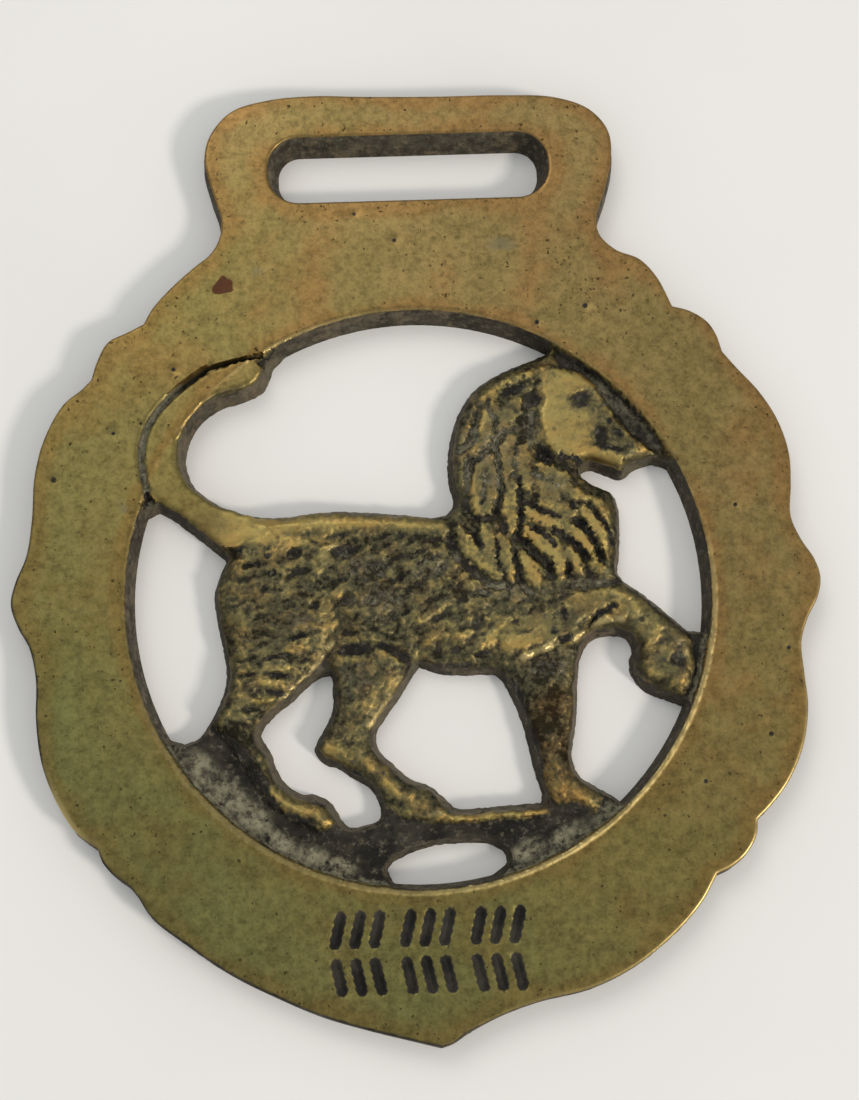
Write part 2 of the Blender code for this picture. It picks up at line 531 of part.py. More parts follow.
def build_casting():
    """The whole casting as one closed mesh."""
    outer_face = outline_loop(OUTLINE_STEP)
    slot_face = slot_loop(OUTLINE_STEP)
    outer_back = grown(outer_face, np.full(len(outer_face), OUTER_DRAFT))
    slot_back = grown(slot_face, np.full(len(slot_face), -SLOT_DRAFT))
    backs = [outer_back, slot_back]
    faces = [outer_face, slot_face]
    for rows in OPENINGS:
        back = opening_loop(rows, OPENING_STEP)
        on_ring = np.clip((np.hypot(*back.T) - (OPENING_RADIUS - OPENING_DRAFT) + 0.2) / 0.2, 0, 1)
        backs.append(back)
        faces.append(grown(back, FIGURE_DRAFT + (OPENING_DRAFT - FIGURE_DRAFT) * on_ring))
    openings = faces[2:]

    # Rows just inside the edges, then a grid: fine on the lion, coarse on the ring
    inset = [grown(outer_face, np.full(len(outer_face), -FACE_ROUND)),
             grown(slot_face, np.full(len(slot_face), FACE_ROUND))]
    inset += [grown(loop, np.full(len(loop), 0.45)) for loop in openings]
    low = outer_back.min(axis=0) - 1.0
    high = outer_back.max(axis=0) + 1.0
    fine = hexagon_grid(low, high, FIGURE_STEP)
    fine = fine[np.hypot(*fine.T) < OPENING_RADIUS + 2.2]
    tail_side = distance_to(fine, tail_groove_line(1.0), closed=False) < 1.2
    fine = fine[(np.hypot(*fine.T) < OPENING_RADIUS - 1.0) | tail_side]
    mane = hexagon_grid(low, high, MANE_STEP)
    mane = mane[inside(mane, mass_loop(MANE[2]))]
    coarse = hexagon_grid(low, high, RING_STEP)
    coarse = coarse[np.hypot(*coarse.T) > OPENING_RADIUS + 2.0]

    every = np.vstack(faces)

    def clear_of_edges(points, gap):
        keep = inside(points, outer_face) & ~inside(points, slot_face)
        edge = np.minimum(distance_to(points, outer_face), distance_to(points, slot_face))
        for loop in openings:
            keep &= ~inside(points, loop)
            edge = np.minimum(edge, distance_to(points, loop))
        return keep & (edge > gap)

    extra = []
    creases = []
    for row in crease_rows():
        for run in runs_of(row, clear_of_edges(row, 0.3)):
            closed = len(run) > 2 and math.dist(run[0], run[-1]) < 1e-6
            points = list(map(tuple, run[:-1] if closed else run))
            first = len(extra)
            extra += points
            creases += [(first + i, first + i + 1) for i in range(len(points) - 1)]
            if closed:
                creases.append((first + len(points) - 1, first))
    extra = np.array(extra)
    for rows, edge_gap, gap in ((np.vstack(inset), 0.22, 0.3), (mane, 0.4, 0.5),
                                (fine, 0.45, 0.6), (coarse, 1.6, 2.2)):
        rows = rows[clear_of_edges(rows, edge_gap)]
        extra = np.vstack((extra, thinned(rows, np.vstack((every, extra)), gap)))

    flat, top_faces = triangulated(faces, extra, creases)
    heights = relief(flat, openings, outer_face, slot_face)
    extra_back = hexagon_grid(low, high, 6.0)
    keep = inside(extra_back, outer_back)
    for loop in backs[1:]:
        keep &= ~inside(extra_back, loop)
    extra_back = extra_back[keep]
    for loop in backs:
        extra_back = extra_back[distance_to(extra_back, loop) > 1.6]
    flat_back, back_faces = triangulated(backs, extra_back)

    # The middle of the back outline's box becomes the origin
    middle = (outer_back.min(axis=0) + outer_back.max(axis=0)) / 2
    bm = bmesh.new()
    top = [bm.verts.new(((x - middle[0]) * MM, (y - middle[1]) * MM, z * MM))
           for (x, y), z in zip(flat, heights)]
    base = [bm.verts.new(((x - middle[0]) * MM, (y - middle[1]) * MM, 0.0)) for x, y in flat_back]
    for a, b, c in top_faces:
        bm.faces.new((top[a], top[b], top[c])).smooth = True
    for a, b, c in back_faces:
        bm.faces.new((base[c], base[b], base[a]))
    start = 0
    for loop in faces:
        count = len(loop)
        for i in range(count):
            j = (i + 1) % count
            corners = (base[start + i], base[start + j], top[start + j], top[start + i])
            bm.faces.new(corners).smooth = True
        start += count
    bmesh.ops.recalc_face_normals(bm, faces=bm.faces)
    bmesh.ops.triangulate(bm, faces=[f for f in bm.faces if len(f.verts) > 3])
    mesh = bpy.data.meshes.new("horse_brass")
    bm.to_mesh(mesh)
    bm.free()
    mesh.set_sharp_from_angle(angle=math.radians(32.0))
    return mesh


def aged_brass():
    material = bpy.data.materials.new("aged_brass")
    material.use_nodes = True
    shader = material.node_tree.nodes["Principled BSDF"]
    shader.inputs["Base Color"].default_value = (0.30, 0.21, 0.06, 1.0)
    shader.inputs["Metallic"].default_value = 1.0
    shader.inputs["Roughness"].default_value = 0.4
    return material


for thing in list(bpy.data.objects):
    bpy.data.objects.remove(thing, do_unlink=True)
casting = bpy.data.objects.new("horse_brass", build_casting())
casting.data.materials.append(aged_brass())
bpy.context.scene.collection.objects.link(casting)
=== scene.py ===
"""Aged finish, fine carving and studio for a cast horse brass with a walking lion.

The casting is one piece. Its curves are millimetres in a drawing whose origin is the middle of
the round opening; the mesh is in metres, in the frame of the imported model.
"""

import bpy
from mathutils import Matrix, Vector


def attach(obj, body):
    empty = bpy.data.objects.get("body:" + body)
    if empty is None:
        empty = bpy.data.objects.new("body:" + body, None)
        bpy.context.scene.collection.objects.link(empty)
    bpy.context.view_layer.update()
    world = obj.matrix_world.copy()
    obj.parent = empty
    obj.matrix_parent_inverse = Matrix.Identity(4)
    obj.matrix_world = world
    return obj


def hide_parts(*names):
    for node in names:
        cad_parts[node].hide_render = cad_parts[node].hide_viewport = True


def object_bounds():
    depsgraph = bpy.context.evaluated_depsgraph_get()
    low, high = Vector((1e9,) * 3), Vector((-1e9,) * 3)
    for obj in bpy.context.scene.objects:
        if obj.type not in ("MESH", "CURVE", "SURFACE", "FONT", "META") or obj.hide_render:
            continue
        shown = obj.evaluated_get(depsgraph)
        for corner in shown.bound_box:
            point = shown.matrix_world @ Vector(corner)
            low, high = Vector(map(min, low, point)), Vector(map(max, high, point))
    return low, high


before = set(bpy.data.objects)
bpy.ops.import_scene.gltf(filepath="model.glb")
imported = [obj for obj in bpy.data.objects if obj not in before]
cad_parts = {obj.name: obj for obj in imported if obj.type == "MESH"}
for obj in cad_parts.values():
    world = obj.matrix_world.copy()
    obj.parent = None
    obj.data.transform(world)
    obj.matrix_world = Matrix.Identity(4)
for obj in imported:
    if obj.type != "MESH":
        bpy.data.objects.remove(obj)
CAD_BOX = [list(corner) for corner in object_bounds()]

import math

import bmesh
import bpy
import numpy as np
from mathutils import Matrix, Vector, noise
from mathutils.geometry import delaunay_2d_cdt

bl_info = {
    "name": "Horse brass",
    "version": (1, 0, 0),
    "blender": (4, 5, 0),
    "location": "3D View > Sidebar > Horse brass",
    "description": "Builds a cast horse brass with its worn finish, and a plain studio for it",
    "category": "Object",
}

MM = 0.001
THICKNESS = 3.2
OPENING_RADIUS = 27.3
OPENING_DRAFT = 0.5
OUTER_DRAFT = 0.35
SLOT_DRAFT = 0.9
GROUND_DEPTH = 1.7
FIGURE_EDGE_DEPTH = 1.3
GROOVE_HALF_WIDTH = 0.42
DRAWING_SHIFT = (0.15, -4.3)

# The mesh: rows of points inside the edges, about the opening's rim and along the cut line, the
# grid of the back, strips down a wall, and the sharpest edge in degrees that is shaded smooth
EDGE_ROWS = (0.14, 0.32, 0.56)
RIM_ROWS = (-0.5, -0.25, 0.0, 0.14, 0.34, 0.6)
GROOVE_ROWS = (-0.75, -0.5, -0.25, 0.0, 0.25, 0.5, 0.75)
BACK_GRID = 3.0
WALL_STRIPS = 4
SMOOTH_ANGLE = 50.0

# Studio, in metres; the camera's axes are to the right, up and back
CAMERA_PLACE = (-0.00203, -0.03119, 0.16198)
CAMERA_AXES = ((0.99924, -0.03664, 0.01356), (0.03339, 0.98115, 0.19033),
               (-0.02028, -0.18973, 0.98163))
KEY_LIGHT_PLACE = (0.894, -0.557, 0.764)
SOFT_BOX_PLACE = (-0.4, 0.75, 1.15)
SOFT_BOX_SIZE = 0.7
FLOOR_SIZE = 1.6
FLOOR_GAP = 0.00003

# The ring's outline on the face, clockwise from the left foot of the strap loop, lobe by lobe
LOBES = (
    ((-25.4, 26.7), (-24.5, 28.3), (-22.6, 30.4), (-20.6, 32.2), (-18.9, 33.6), (-18.0, 35.3),
     (-17.9, 37.2), (-18.7, 40.0), (-19.4, 43.3), (-18.8, 45.8), (-16.7, 48.2), (-13.0, 49.3),
     (-8.5, 49.6), (-4.0, 49.4), (3.0, 49.2), (10.0, 49.15), (15.0, 48.8), (18.3, 47.5),
     (20.1, 45.2), (20.3, 42.4), (19.4, 38.8), (18.5, 36.2), (18.7, 34.4), (20.2, 32.8),
     (22.4, 31.8), (24.0, 29.9), (25.3, 26.9)),
    ((25.3, 26.9), (26.9, 26.4), (28.5, 25.3), (29.3, 24.0), (29.8, 22.2)),
    ((29.8, 22.2), (31.2, 20.4), (33.0, 18.2), (34.6, 15.3), (35.45, 12.0), (35.4, 9.0),
     (35.15, 6.0), (35.9, 3.8), (37.1, 1.7), (37.5, 0.0), (37.1, -1.8), (36.0, -3.8),
     (35.25, -6.0), (35.3, -9.0), (35.4, -12.0), (34.7, -15.5), (33.2, -18.6), (31.5, -20.7),
     (30.0, -22.1)),
    ((30.0, -22.1), (29.8, -23.5), (28.8, -25.1), (27.4, -26.2), (26.0, -26.8)),
    ((26.0, -26.8), (24.5, -29.2), (22.0, -31.8), (18.0, -34.7), (14.0, -36.4), (9.5, -37.3),
     (6.0, -38.4), (3.0, -39.8), (1.5, -40.7), (0.6, -41.0)),
    ((0.6, -41.0), (-2.0, -40.3), (-6.0, -39.2), (-10.0, -37.9), (-14.0, -36.1), (-18.0, -34.0),
     (-22.0, -31.2), (-25.0, -28.8), (-26.1, -27.1)),
    ((-26.1, -27.1), (-26.9, -26.1), (-28.3, -25.0), (-29.3, -23.9), (-29.8, -22.6)),
    ((-29.8, -22.6), (-31.8, -21.0), (-33.4, -18.5), (-34.8, -15.0), (-35.4, -11.0),
     (-35.45, -7.0), (-36.1, -4.0), (-37.2, -2.0), (-37.8, 0.0), (-37.4, 2.0), (-36.4, 4.5),
     (-35.9, 8.0), (-35.7, 12.0), (-34.8, 15.7), (-33.0, 19.0), (-31.3, 20.4), (-30.4, 21.3)),
    ((-30.4, 21.3), (-29.8, 23.2), (-28.8, 25.0), (-27.0, 25.9), (-25.4, 26.7)),
)
SLOT_CENTRE = (0.4, 41.9)
SLOT_LENGTH = 27.4
SLOT_HEIGHT = 6.8
SLOT_CORNER = 3.1

# Cut strokes under the lion: two rows that lean against each other, each of three groups of three
STROKE_BAND_MIDDLE = (-0.3, -32.655)
STROKE_ROW_PITCH = 4.1
STROKE_GROUP_PITCH = 6.3
STROKE_PITCH = 1.75
STROKE_LEANS = (14.0, -12.0)
STROKE_GRID = 0.26
STROKE_FIELD = ((-9.6, -38.2), (9.2, -26.8))

# The openings around the lion, on the back: arcs of the round opening, and lines of the lion
OVER_BACK = (
    ("arc", 60.5, 117.0),
    ("curve", ((-13.3, 22.7), (-13.7, 21.6), (-14.5, 20.3), (-15.9, 19.6), (-18.3, 18.9),
               (-20.4, 17.4), (-21.6, 15.2), (-21.8, 13.2), (-21.0, 11.2), (-19.1, 9.6),
               (-16.3, 8.4), (-13.7, 8.0), (-8.1, 8.4), (-3.5, 8.1), (1.6, 7.5))),
    ("curve", ((2.9, 7.7), (3.6, 8.7), (3.2, 10.7), (3.3, 13.8), (4.2, 17.1), (5.9, 19.8),
               (8.7, 21.6), (11.3, 22.6))),
)
BEHIND_RUMP = (
    ("arc", 162.0, 208.5),
    ("curve", ((-22.2, -13.2), (-20.9, -12.7), (-19.5, -10.7), (-18.4, -8.1), (-18.3, -6.1),
               (-18.9, -2.8), (-19.3, 0.5), (-18.8, 2.5))),
    ("curve", ((-18.1, 3.9), (-20.9, 6.3), (-22.9, 7.9), (-24.3, 8.8))),
)
BETWEEN_HIND_LEGS = (
    ("curve", ((-9.5, -7.5), (-8.5, -7.4), (-8.4, -8.8), (-8.4, -10.5), (-9.2, -12.2),
               (-10.2, -14.2), (-9.4, -15.5), (-8.1, -16.0), (-6.6, -17.0), (-5.1, -18.0),
               (-4.3, -19.6), (-4.4, -20.8), (-5.6, -21.2), (-7.1, -21.4), (-7.9, -20.6),
               (-8.8, -19.1), (-10.2, -18.3), (-11.4, -18.2), (-12.7, -17.4), (-13.7, -16.0),
               (-14.2, -14.4), (-15.1, -12.6), (-13.8, -10.9), (-12.2, -9.7), (-10.8, -8.4))),
)
UNDER_BELLY = (
    ("curve", ((-0.2, -6.8), (1.7, -7.5), (4.3, -7.7), (6.7, -7.7))),
    ("curve", ((7.5, -8.3), (8.4, -10.2), (9.2, -12.4), (9.7, -14.8), (10.2, -17.2),
               (10.7, -18.9))),
    ("curve", ((10.6, -19.8), (7.2, -19.9), (3.9, -20.1), (2.6, -20.0))),
    ("curve", ((1.7, -19.0), (0.4, -17.9), (-1.3, -17.2), (-3.0, -15.7), (-4.3, -14.2),
               (-4.4, -12.9), (-3.4, -11.3), (-1.9, -9.3), (-0.9, -7.6))),
)
UNDER_RAISED_LEG = (
    ("arc", 312.0, 335.0),
    ("curve", ((23.2, -10.9), (20.8, -9.8), (19.7, -8.4), (19.5, -7.1), (19.8, -5.8),
               (19.2, -4.7), (17.4, -4.5), (16.0, -4.9), (15.0, -6.4), (14.6, -8.6),
               (14.3, -12.2), (13.7, -15.8), (14.3, -17.4), (15.8, -18.5), (17.2, -19.3))),
)
UNDER_CHIN = (
    ("arc", 350.6, 385.5),
    ("curve", ((22.8, 12.0), (21.1, 11.5), (19.7, 10.6), (18.2, 11.1), (16.7, 11.6),
               (15.9, 11.2), (16.6, 10.5), (17.6, 9.9), (18.6, 9.5), (19.2, 8.5), (19.4, 6.2),
               (19.2, 3.6), (18.9, 1.5))),
    ("curve", ((19.4, 0.8), (21.5, -0.8), (23.5, -2.6), (25.2, -4.2))),
)
UNDER_FEET = (
    ("curve", ((-3.8, -25.4), (-3.2, -24.7), (-1.5, -23.9), (0.9, -23.3), (3.4, -23.2),
               (5.7, -23.4), (7.0, -24.2), (7.2, -25.0), (6.3, -25.9))),
    ("arc", -77.5, -97.0),
)
OPENINGS = (OVER_BACK, BEHIND_RUMP, BETWEEN_HIND_LEGS, UNDER_BELLY, UNDER_RAISED_LEG,
            UNDER_CHIN, UNDER_FEET)

# Masses of the lion: how far under the face each ends, over what width it rises, its outline
TRUNK = (0.15, 6.0, ((-18.0, 9.0), (-8.0, 9.5), (2.0, 8.5), (8.0, 8.0), (15.0, 4.0), (17.0, 0.0),
                    (15.0, -4.0), (11.5, -6.9), (6.0, -8.4), (1.0, -8.0), (-2.0, -6.2),
                    (-6.0, -5.2), (-10.0, -5.0), (-14.0, 0.0)))
HAUNCH = (0.0, 4.0, ((-12.0, 8.5), (-8.2, 5.2), (-9.0, 2.5), (-8.6, 0.0), (-7.8, -2.5),
                     (-8.3, -4.7), (-10.2, -6.7), (-12.4, -9.2), (-14.5, -11.1), (-16.4, -13.2),
                     (-18.6, -12.6), (-20.5, -9.0), (-20.5, -2.0), (-20.0, 3.0),
                     (-18.0, 7.0)))
MANE = (0.1, 3.2, ((12.5, 23.8), (6.0, 22.0), (2.5, 17.0), (1.5, 12.0), (2.2, 8.0), (3.1, 5.2),
                   (3.8, 3.0), (5.4, 1.1), (7.5, 0.1), (9.5, -0.7), (11.2, -0.9), (13.2, -0.1),
                   (15.5, 0.4), (18.0, 0.5), (21.0, 1.5), (21.5, 5.0), (20.5, 9.8),
                   (16.5, 11.2), (14.6, 12.4), (14.8, 14.5), (14.8, 17.5), (14.6, 21.0)))
HEAD = (0.0, 1.0, ((12.1, 21.4), (14.5, 21.3), (16.5, 20.7), (18.0, 19.3), (19.3, 17.0),
                   (20.8, 14.9), (22.5, 13.4), (23.0, 12.2), (21.5, 10.5), (19.6, 9.4),
                   (17.0, 10.6), (14.0, 12.0), (12.6, 13.2), (12.0, 15.5), (12.1, 18.5)))
CURVED_MASSES = (TRUNK, HAUNCH, MANE, HEAD)

# Round limbs: the same two sizes, then points with a half width at each
BACK_RIDGE = (0.1, 1.4, ((-19.0, 6.9, 1.9), (-15.0, 6.3, 1.7), (-10.0, 6.7, 1.3),
                          (-4.0, 6.7, 1.2), (2.0, 6.0, 1.2)))
NEAR_HIND_LEG = (0.1, 1.6, ((-17.6, -9.5, 2.6), (-17.0, -12.2, 1.7), (-15.6, -14.8, 1.4),
                            (-14.6, -16.8, 1.3), (-13.2, -18.5, 1.4), (-11.4, -19.6, 1.4),
                            (-9.6, -20.5, 1.3)))
FAR_HIND_LEG = (0.45, 2.2, ((-5.0, -6.0, 3.6), (-5.2, -9.0, 3.6), (-6.4, -12.0, 3.2),
                            (-7.0, -14.0, 3.2), (-5.2, -16.0, 2.0), (-3.2, -17.6, 1.8),
                            (-1.6, -19.2, 1.7), (0.6, -20.0, 1.4)))
FORELEG = (0.45, 2.4, ((10.8, -6.0, 4.2), (11.6, -9.0, 3.6), (11.9, -13.0, 2.6),
                       (12.0, -16.5, 2.0), (12.8, -18.6, 1.7), (15.0, -19.8, 1.2)))
RAISED_LEG = (0.0, 1.9, ((9.5, -4.2, 3.0), (13.0, -3.4, 2.9), (16.5, -2.3, 2.4),
                         (19.0, -2.2, 2.4), (21.2, -3.8, 2.5), (22.4, -6.2, 3.0),
                         (22.5, -8.2, 2.9)))
LEDGE = (0.45, 0.9, ((1.0, -20.5, 0.8), (3.5, -20.8, 0.75), (7.0, -20.6, 0.75), (10.6, -20.5, 0.8)))
LIMBS = (BACK_RIDGE, NEAR_HIND_LEG, FAR_HIND_LEG, FORELEG, RAISED_LEG, LEDGE)

TAIL = ((-15.7, 21.5, 1.5), (-18.2, 21.2, 1.5), (-20.8, 19.9, 1.6), (-22.6, 17.9, 1.65),
        (-23.7, 15.6, 1.7), (-24.0, 13.2, 1.8), (-23.5, 11.2, 1.9), (-22.3, 9.7, 2.0),
        (-20.4, 8.2, 2.1), (-17.5, 6.8, 2.2))
TAIL_GROOVE = ((-14.3, 23.3), (-17.0, 22.7), (-19.4, 22.0), (-21.2, 20.8), (-22.8, 19.5),
               (-24.4, 17.7), (-25.4, 15.7), (-25.7, 13.5), (-25.5, 11.8), (-25.2, 10.2),
               (-25.0, 8.8))

# Locks of the mane, root to tip
LOCKS = (
    ((12.6, 20.6), (10.8, 20.7), (9.2, 20.3), (7.8, 19.5), (6.7, 18.6)),
    ((7.7, 18.6), (7.6, 17.7), (8.0, 16.9), (8.6, 16.5)),
    ((10.1, 18.0), (9.4, 17.1), (8.7, 16.2), (8.3, 15.3)),
    ((7.0, 17.1), (6.9, 15.7), (6.4, 14.3), (5.4, 13.0)),
    ((5.6, 17.7), (4.9, 16.3), (4.3, 14.9)),
    ((4.3, 12.7), (4.1, 11.2), (4.5, 9.7)),
    ((7.2, 12.4), (6.2, 11.3), (5.7, 9.8), (5.7, 8.3), (6.0, 7.1)),
    ((7.3, 11.6), (7.2, 10.2), (7.0, 8.8), (6.6, 7.5)),
    ((9.1, 14.3), (8.7, 12.9), (8.5, 11.5), (8.6, 10.3)),
    ((9.2, 9.8), (9.0, 8.4), (8.8, 6.9), (8.9, 5.5)),
    ((10.7, 13.8), (10.3, 12.6), (10.3, 11.2), (10.5, 9.6)),
    ((3.8, 5.7), (4.5, 4.5), (5.3, 3.3), (6.4, 2.2), (7.4, 1.4)),
    ((6.4, 5.7), (6.6, 4.3), (6.8, 3.0), (7.2, 1.9)),
    ((7.9, 4.7), (8.2, 3.4), (8.4, 2.1), (8.6, 1.1)),
    ((9.7, 2.9), (10.3, 2.0), (10.8, 0.9), (11.0, 0.1)),
    ((10.3, 5.3), (11.3, 4.6), (12.3, 3.7), (13.2, 2.8), (13.4, 1.7), (13.3, 0.6)),
    ((12.0, 4.9), (12.8, 4.2)),
    ((10.5, 7.2), (11.6, 6.5), (13.0, 5.9), (14.4, 5.2), (15.5, 4.2), (16.2, 3.1), (16.4, 2.1)),
    ((14.3, 3.2), (14.8, 2.2), (15.0, 1.1)),
    ((15.7, 7.3), (16.5, 6.2), (17.3, 5.0), (17.8, 3.8), (18.0, 2.4)),
    ((16.6, 8.3), (17.8, 7.3), (18.4, 6.0), (18.6, 4.6)),
    ((11.6, 9.9), (12.4, 9.2), (13.2, 8.4)),
    ((13.2, 10.2), (14.6, 9.2), (16.0, 8.4)),
    ((12.0, 8.1), (13.4, 7.4), (14.8, 6.7)),
    ((11.8, 11.6), (13.0, 10.9), (14.4, 10.5)),
    ((16.8, 2.4), (16.9, 1.3)),
)

# Hollows: place, half length, half width, turn in degrees, depth, how full of dirt; the dark fill of
# the hollows under the belly is partly painted shade
HOLLOWS = (
    (16.1, 18.2, 1.2, 0.6, 14, 0.25, 0.75), (16.0, 17.5, 0.7, 0.4, 0, 0.1, 0.7),
    (17.6, 14.4, 0.8, 1.2, 10, 0.25, 0.7), (18.6, 13.1, 1.6, 0.4, -14, 0.2, 0.7),
    (19.6, 17.6, 0.55, 2.4, 33, 0.15, 0.65), (21.2, 15.2, 0.6, 2.0, 37, 0.15, 0.65),
    (18.6, 15.8, 0.5, 0.3, 40, 0.1, 0.8), (18.3, 17.4, 0.5, 0.25, 30, 0.1, 0.8),
    (19.4, 14.5, 0.8, 0.35, -50, 0.1, 0.8), (17.9, 18.9, 0.3, 0.5, 20, 0.1, 0.7),
    (11.4, 18.2, 1.0, 0.85, 10, 0.45, 1.0), (9.9, 19.2, 1.4, 0.4, 14, 0.25, 0.9),
    (11.3, 16.2, 0.7, 1.5, 8, 0.3, 0.55), (12.4, 12.7, 0.65, 1.3, 14, 0.7, 1.0),
    (11.0, 14.0, 0.7, 1.4, 0, 0.2, 0.45), (5.6, 14.3, 0.8, 0.6, 35, 0.3, 0.95),
    (4.3, 13.5, 0.45, 0.45, 0, 0.15, 0.9), (4.8, 8.1, 0.6, 0.95, 0, 0.3, 0.95),
    (6.3, 6.75, 1.5, 0.3, -4, 0.2, 0.7), (8.3, 5.9, 0.6, 0.7, 0, 0.25, 0.7),
    (9.3, 4.6, 0.5, 0.8, 0, 0.2, 0.5), (15.6, 5.8, 0.55, 0.5, 0, 0.2, 1.0),
    (11.9, 12.9, 0.5, 0.8, 0, 0.3, 0.8), (15.2, 11.0, 1.4, 0.4, -12, 0.2, 0.5),
    (20.4, 17.8, 4.4, 0.9, -55, -0.45, 0.0), (-11.7, -3.1, 1.3, 0.35, 12, -0.2, 0.0),
    (-11.6, -5.0, 1.3, 0.4, 8, -0.2, 0.0), (-14.2, -5.1, 1.0, 0.3, 4, -0.15, 0.0),
    (-13.2, -6.7, 1.6, 0.35, 6, -0.22, 0.0), (-13.9, -8.1, 1.3, 0.35, 0, -0.22, 0.0),
    (-15.4, -9.6, 1.4, 0.35, -8, -0.2, 0.0), (-8.6, 4.3, 0.9, 0.45, 30, -0.2, 0.0),
    (-1.6, -19.0, 1.9, 0.9, -14, -0.15, 0.0), (-7.2, -14.2, 1.6, 0.8, -10, -0.12, 0.0),
    (2.9, -4.4, 2.4, 0.5, 10, -0.12, 0.0), (8.6, -5.0, 2.0, 0.6, 4, -0.12, 0.0),
    (7.2, -3.9, 1.0, 0.3, 50, -0.15, 0.0), (0.4, -2.6, 2.2, 0.35, 28, -0.12, 0.0),
    (-11.5, 3.9, 0.65, 0.55, 20, 0.6, 1.0), (-13.9, 3.8, 0.4, 0.28, 0, 0.25, 0.9),
    (-15.6, 3.05, 0.75, 0.25, 0, 0.25, 0.9), (-13.5, 2.15, 0.5, 0.35, 30, 0.3, 0.9),
    (-14.3, 0.7, 0.4, 0.6, -30, 0.3, 0.8), (-9.7, 5.0, 0.4, 0.25, 0, 0.15, 0.8),
    (-11.2, 2.3, 0.9, 0.5, 10, 0.2, 0.6), (-9.7, -1.1, 0.5, 0.4, 0, 0.2, 0.8),
    (-12.1, -0.8, 1.0, 0.8, 0, 0.2, 0.45), (-6.8, 4.0, 1.5, 0.8, 12, 0.3, 0.75),
    (-7.3, 2.2, 0.9, 1.2, 0, 0.2, 0.3), (-3.5, 1.7, 0.5, 0.4, 0, 0.25, 0.85),
    (-6.6, -0.7, 1.1, 0.7, 0, 0.22, 0.5), (-7.0, -2.9, 0.9, 1.2, 0, 0.2, 0.45),
    (-1.3, -1.9, 0.5, 0.3, 20, 0.2, 0.7), (-1.0, 3.3, 1.2, 0.4, 10, 0.15, 0.5),
    (-11.5, -3.95, 1.3, 0.3, 16, 0.35, 0.9), (-13.5, -5.8, 1.4, 0.24, 8, 0.3, 0.85),
    (-10.8, -6.1, 0.8, 0.2, 10, 0.2, 0.6), (-13.2, -7.4, 1.4, 0.28, -4, 0.35, 0.9),
    (-13.4, -8.9, 1.0, 0.3, -14, 0.35, 0.9), (-16.3, -7.3, 1.2, 0.22, 6, 0.2, 0.6),
    (-14.8, -11.2, 0.6, 0.3, 0, 0.25, 0.7), (-16.0, -10.4, 0.9, 0.2, -8, 0.2, 0.6),
    (-16.4, -5.9, 1.1, 0.22, 8, 0.2, 0.5), (-16.2, -12.0, 0.8, 0.25, -20, 0.2, 0.6),
    (19.3, 17.7, 2.4, 0.4, -57, 0.05, 0.5), (21.3, 14.8, 2.0, 0.4, -48, 0.05, 0.5),
    # The hollows at -6.2, -3.0 and -1.6 across, under the belly, are dark partly as painted shade
    (-6.2, -5.2, 1.8, 0.7, 4, 0.5, 1.0), (-3.0, -5.25, 1.3, 0.5, -22, 0.45, 1.0),
    (-1.6, -6.0, 0.9, 0.4, -30, 0.3, 0.95), (2.8, -6.9, 3.0, 0.35, -3, 0.2, 0.8),
    (-7.0, -7.5, 0.9, 1.2, 0, 0.15, 0.3), (13.5, -2.6, 0.4, 0.9, 20, 0.3, 0.85),
    (5.3, -3.4, 0.7, 1.3, 0, 0.25, 0.6), (5.6, -6.0, 1.0, 0.4, 0, 0.15, 0.8),
    (13.2, -5.0, 1.2, 0.35, 22, 0.3, 0.85), (12.4, -4.2, 0.5, 0.4, 0, 0.2, 0.7),
    (3.2, -5.6, 0.9, 0.35, 10, 0.15, 0.7), (8.9, -3.2, 0.6, 0.3, 0, 0.15, 0.5),
    (-17.5, -14.1, 2.9, 1.0, -40, 0.4, 1.0), (-15.3, -16.8, 1.9, 0.8, -56, 0.4, 1.0),
    (-14.2, -19.2, 1.4, 0.8, -60, 0.4, 1.0), (-12.1, -21.2, 2.3, 1.3, -14, 0.4, 1.0),
    (-10.2, -22.1, 1.6, 0.6, -8, 0.3, 0.95), (-8.2, -15.7, 1.2, 0.3, -14, 0.3, 0.9),
    (-6.2, -16.8, 1.4, 0.4, -34, 0.3, 1.0), (-4.4, -18.9, 0.5, 1.6, 20, 0.3, 1.0),
    (-2.6, -21.3, 2.2, 0.5, -10, 0.3, 1.0), (0.0, -22.3, 2.0, 0.7, 0, 0.25, 0.9),
    (-5.2, -24.0, 2.0, 0.8, -24, 0.25, 0.9), (4.9, -21.9, 3.8, 0.55, -2, 0.3, 0.95),
    (12.8, -20.5, 2.4, 0.6, -4, 0.35, 1.0), (10.7, -21.5, 1.5, 0.9, 10, 0.2, 0.8),
    (14.8, -21.6, 1.6, 0.6, 14, 0.2, 0.85), (8.9, -10.0, 0.5, 2.2, 14, 0.15, 0.8),
    (10.4, -15.6, 0.45, 2.6, 8, 0.15, 0.85), (21.2, -9.8, 1.6, 0.5, -22, 0.15, 0.9),
    (19.9, -6.6, 0.45, 1.6, 0, 0.15, 0.9), (23.9, -7.2, 0.7, 1.8, 10, 0.2, 0.6),
)

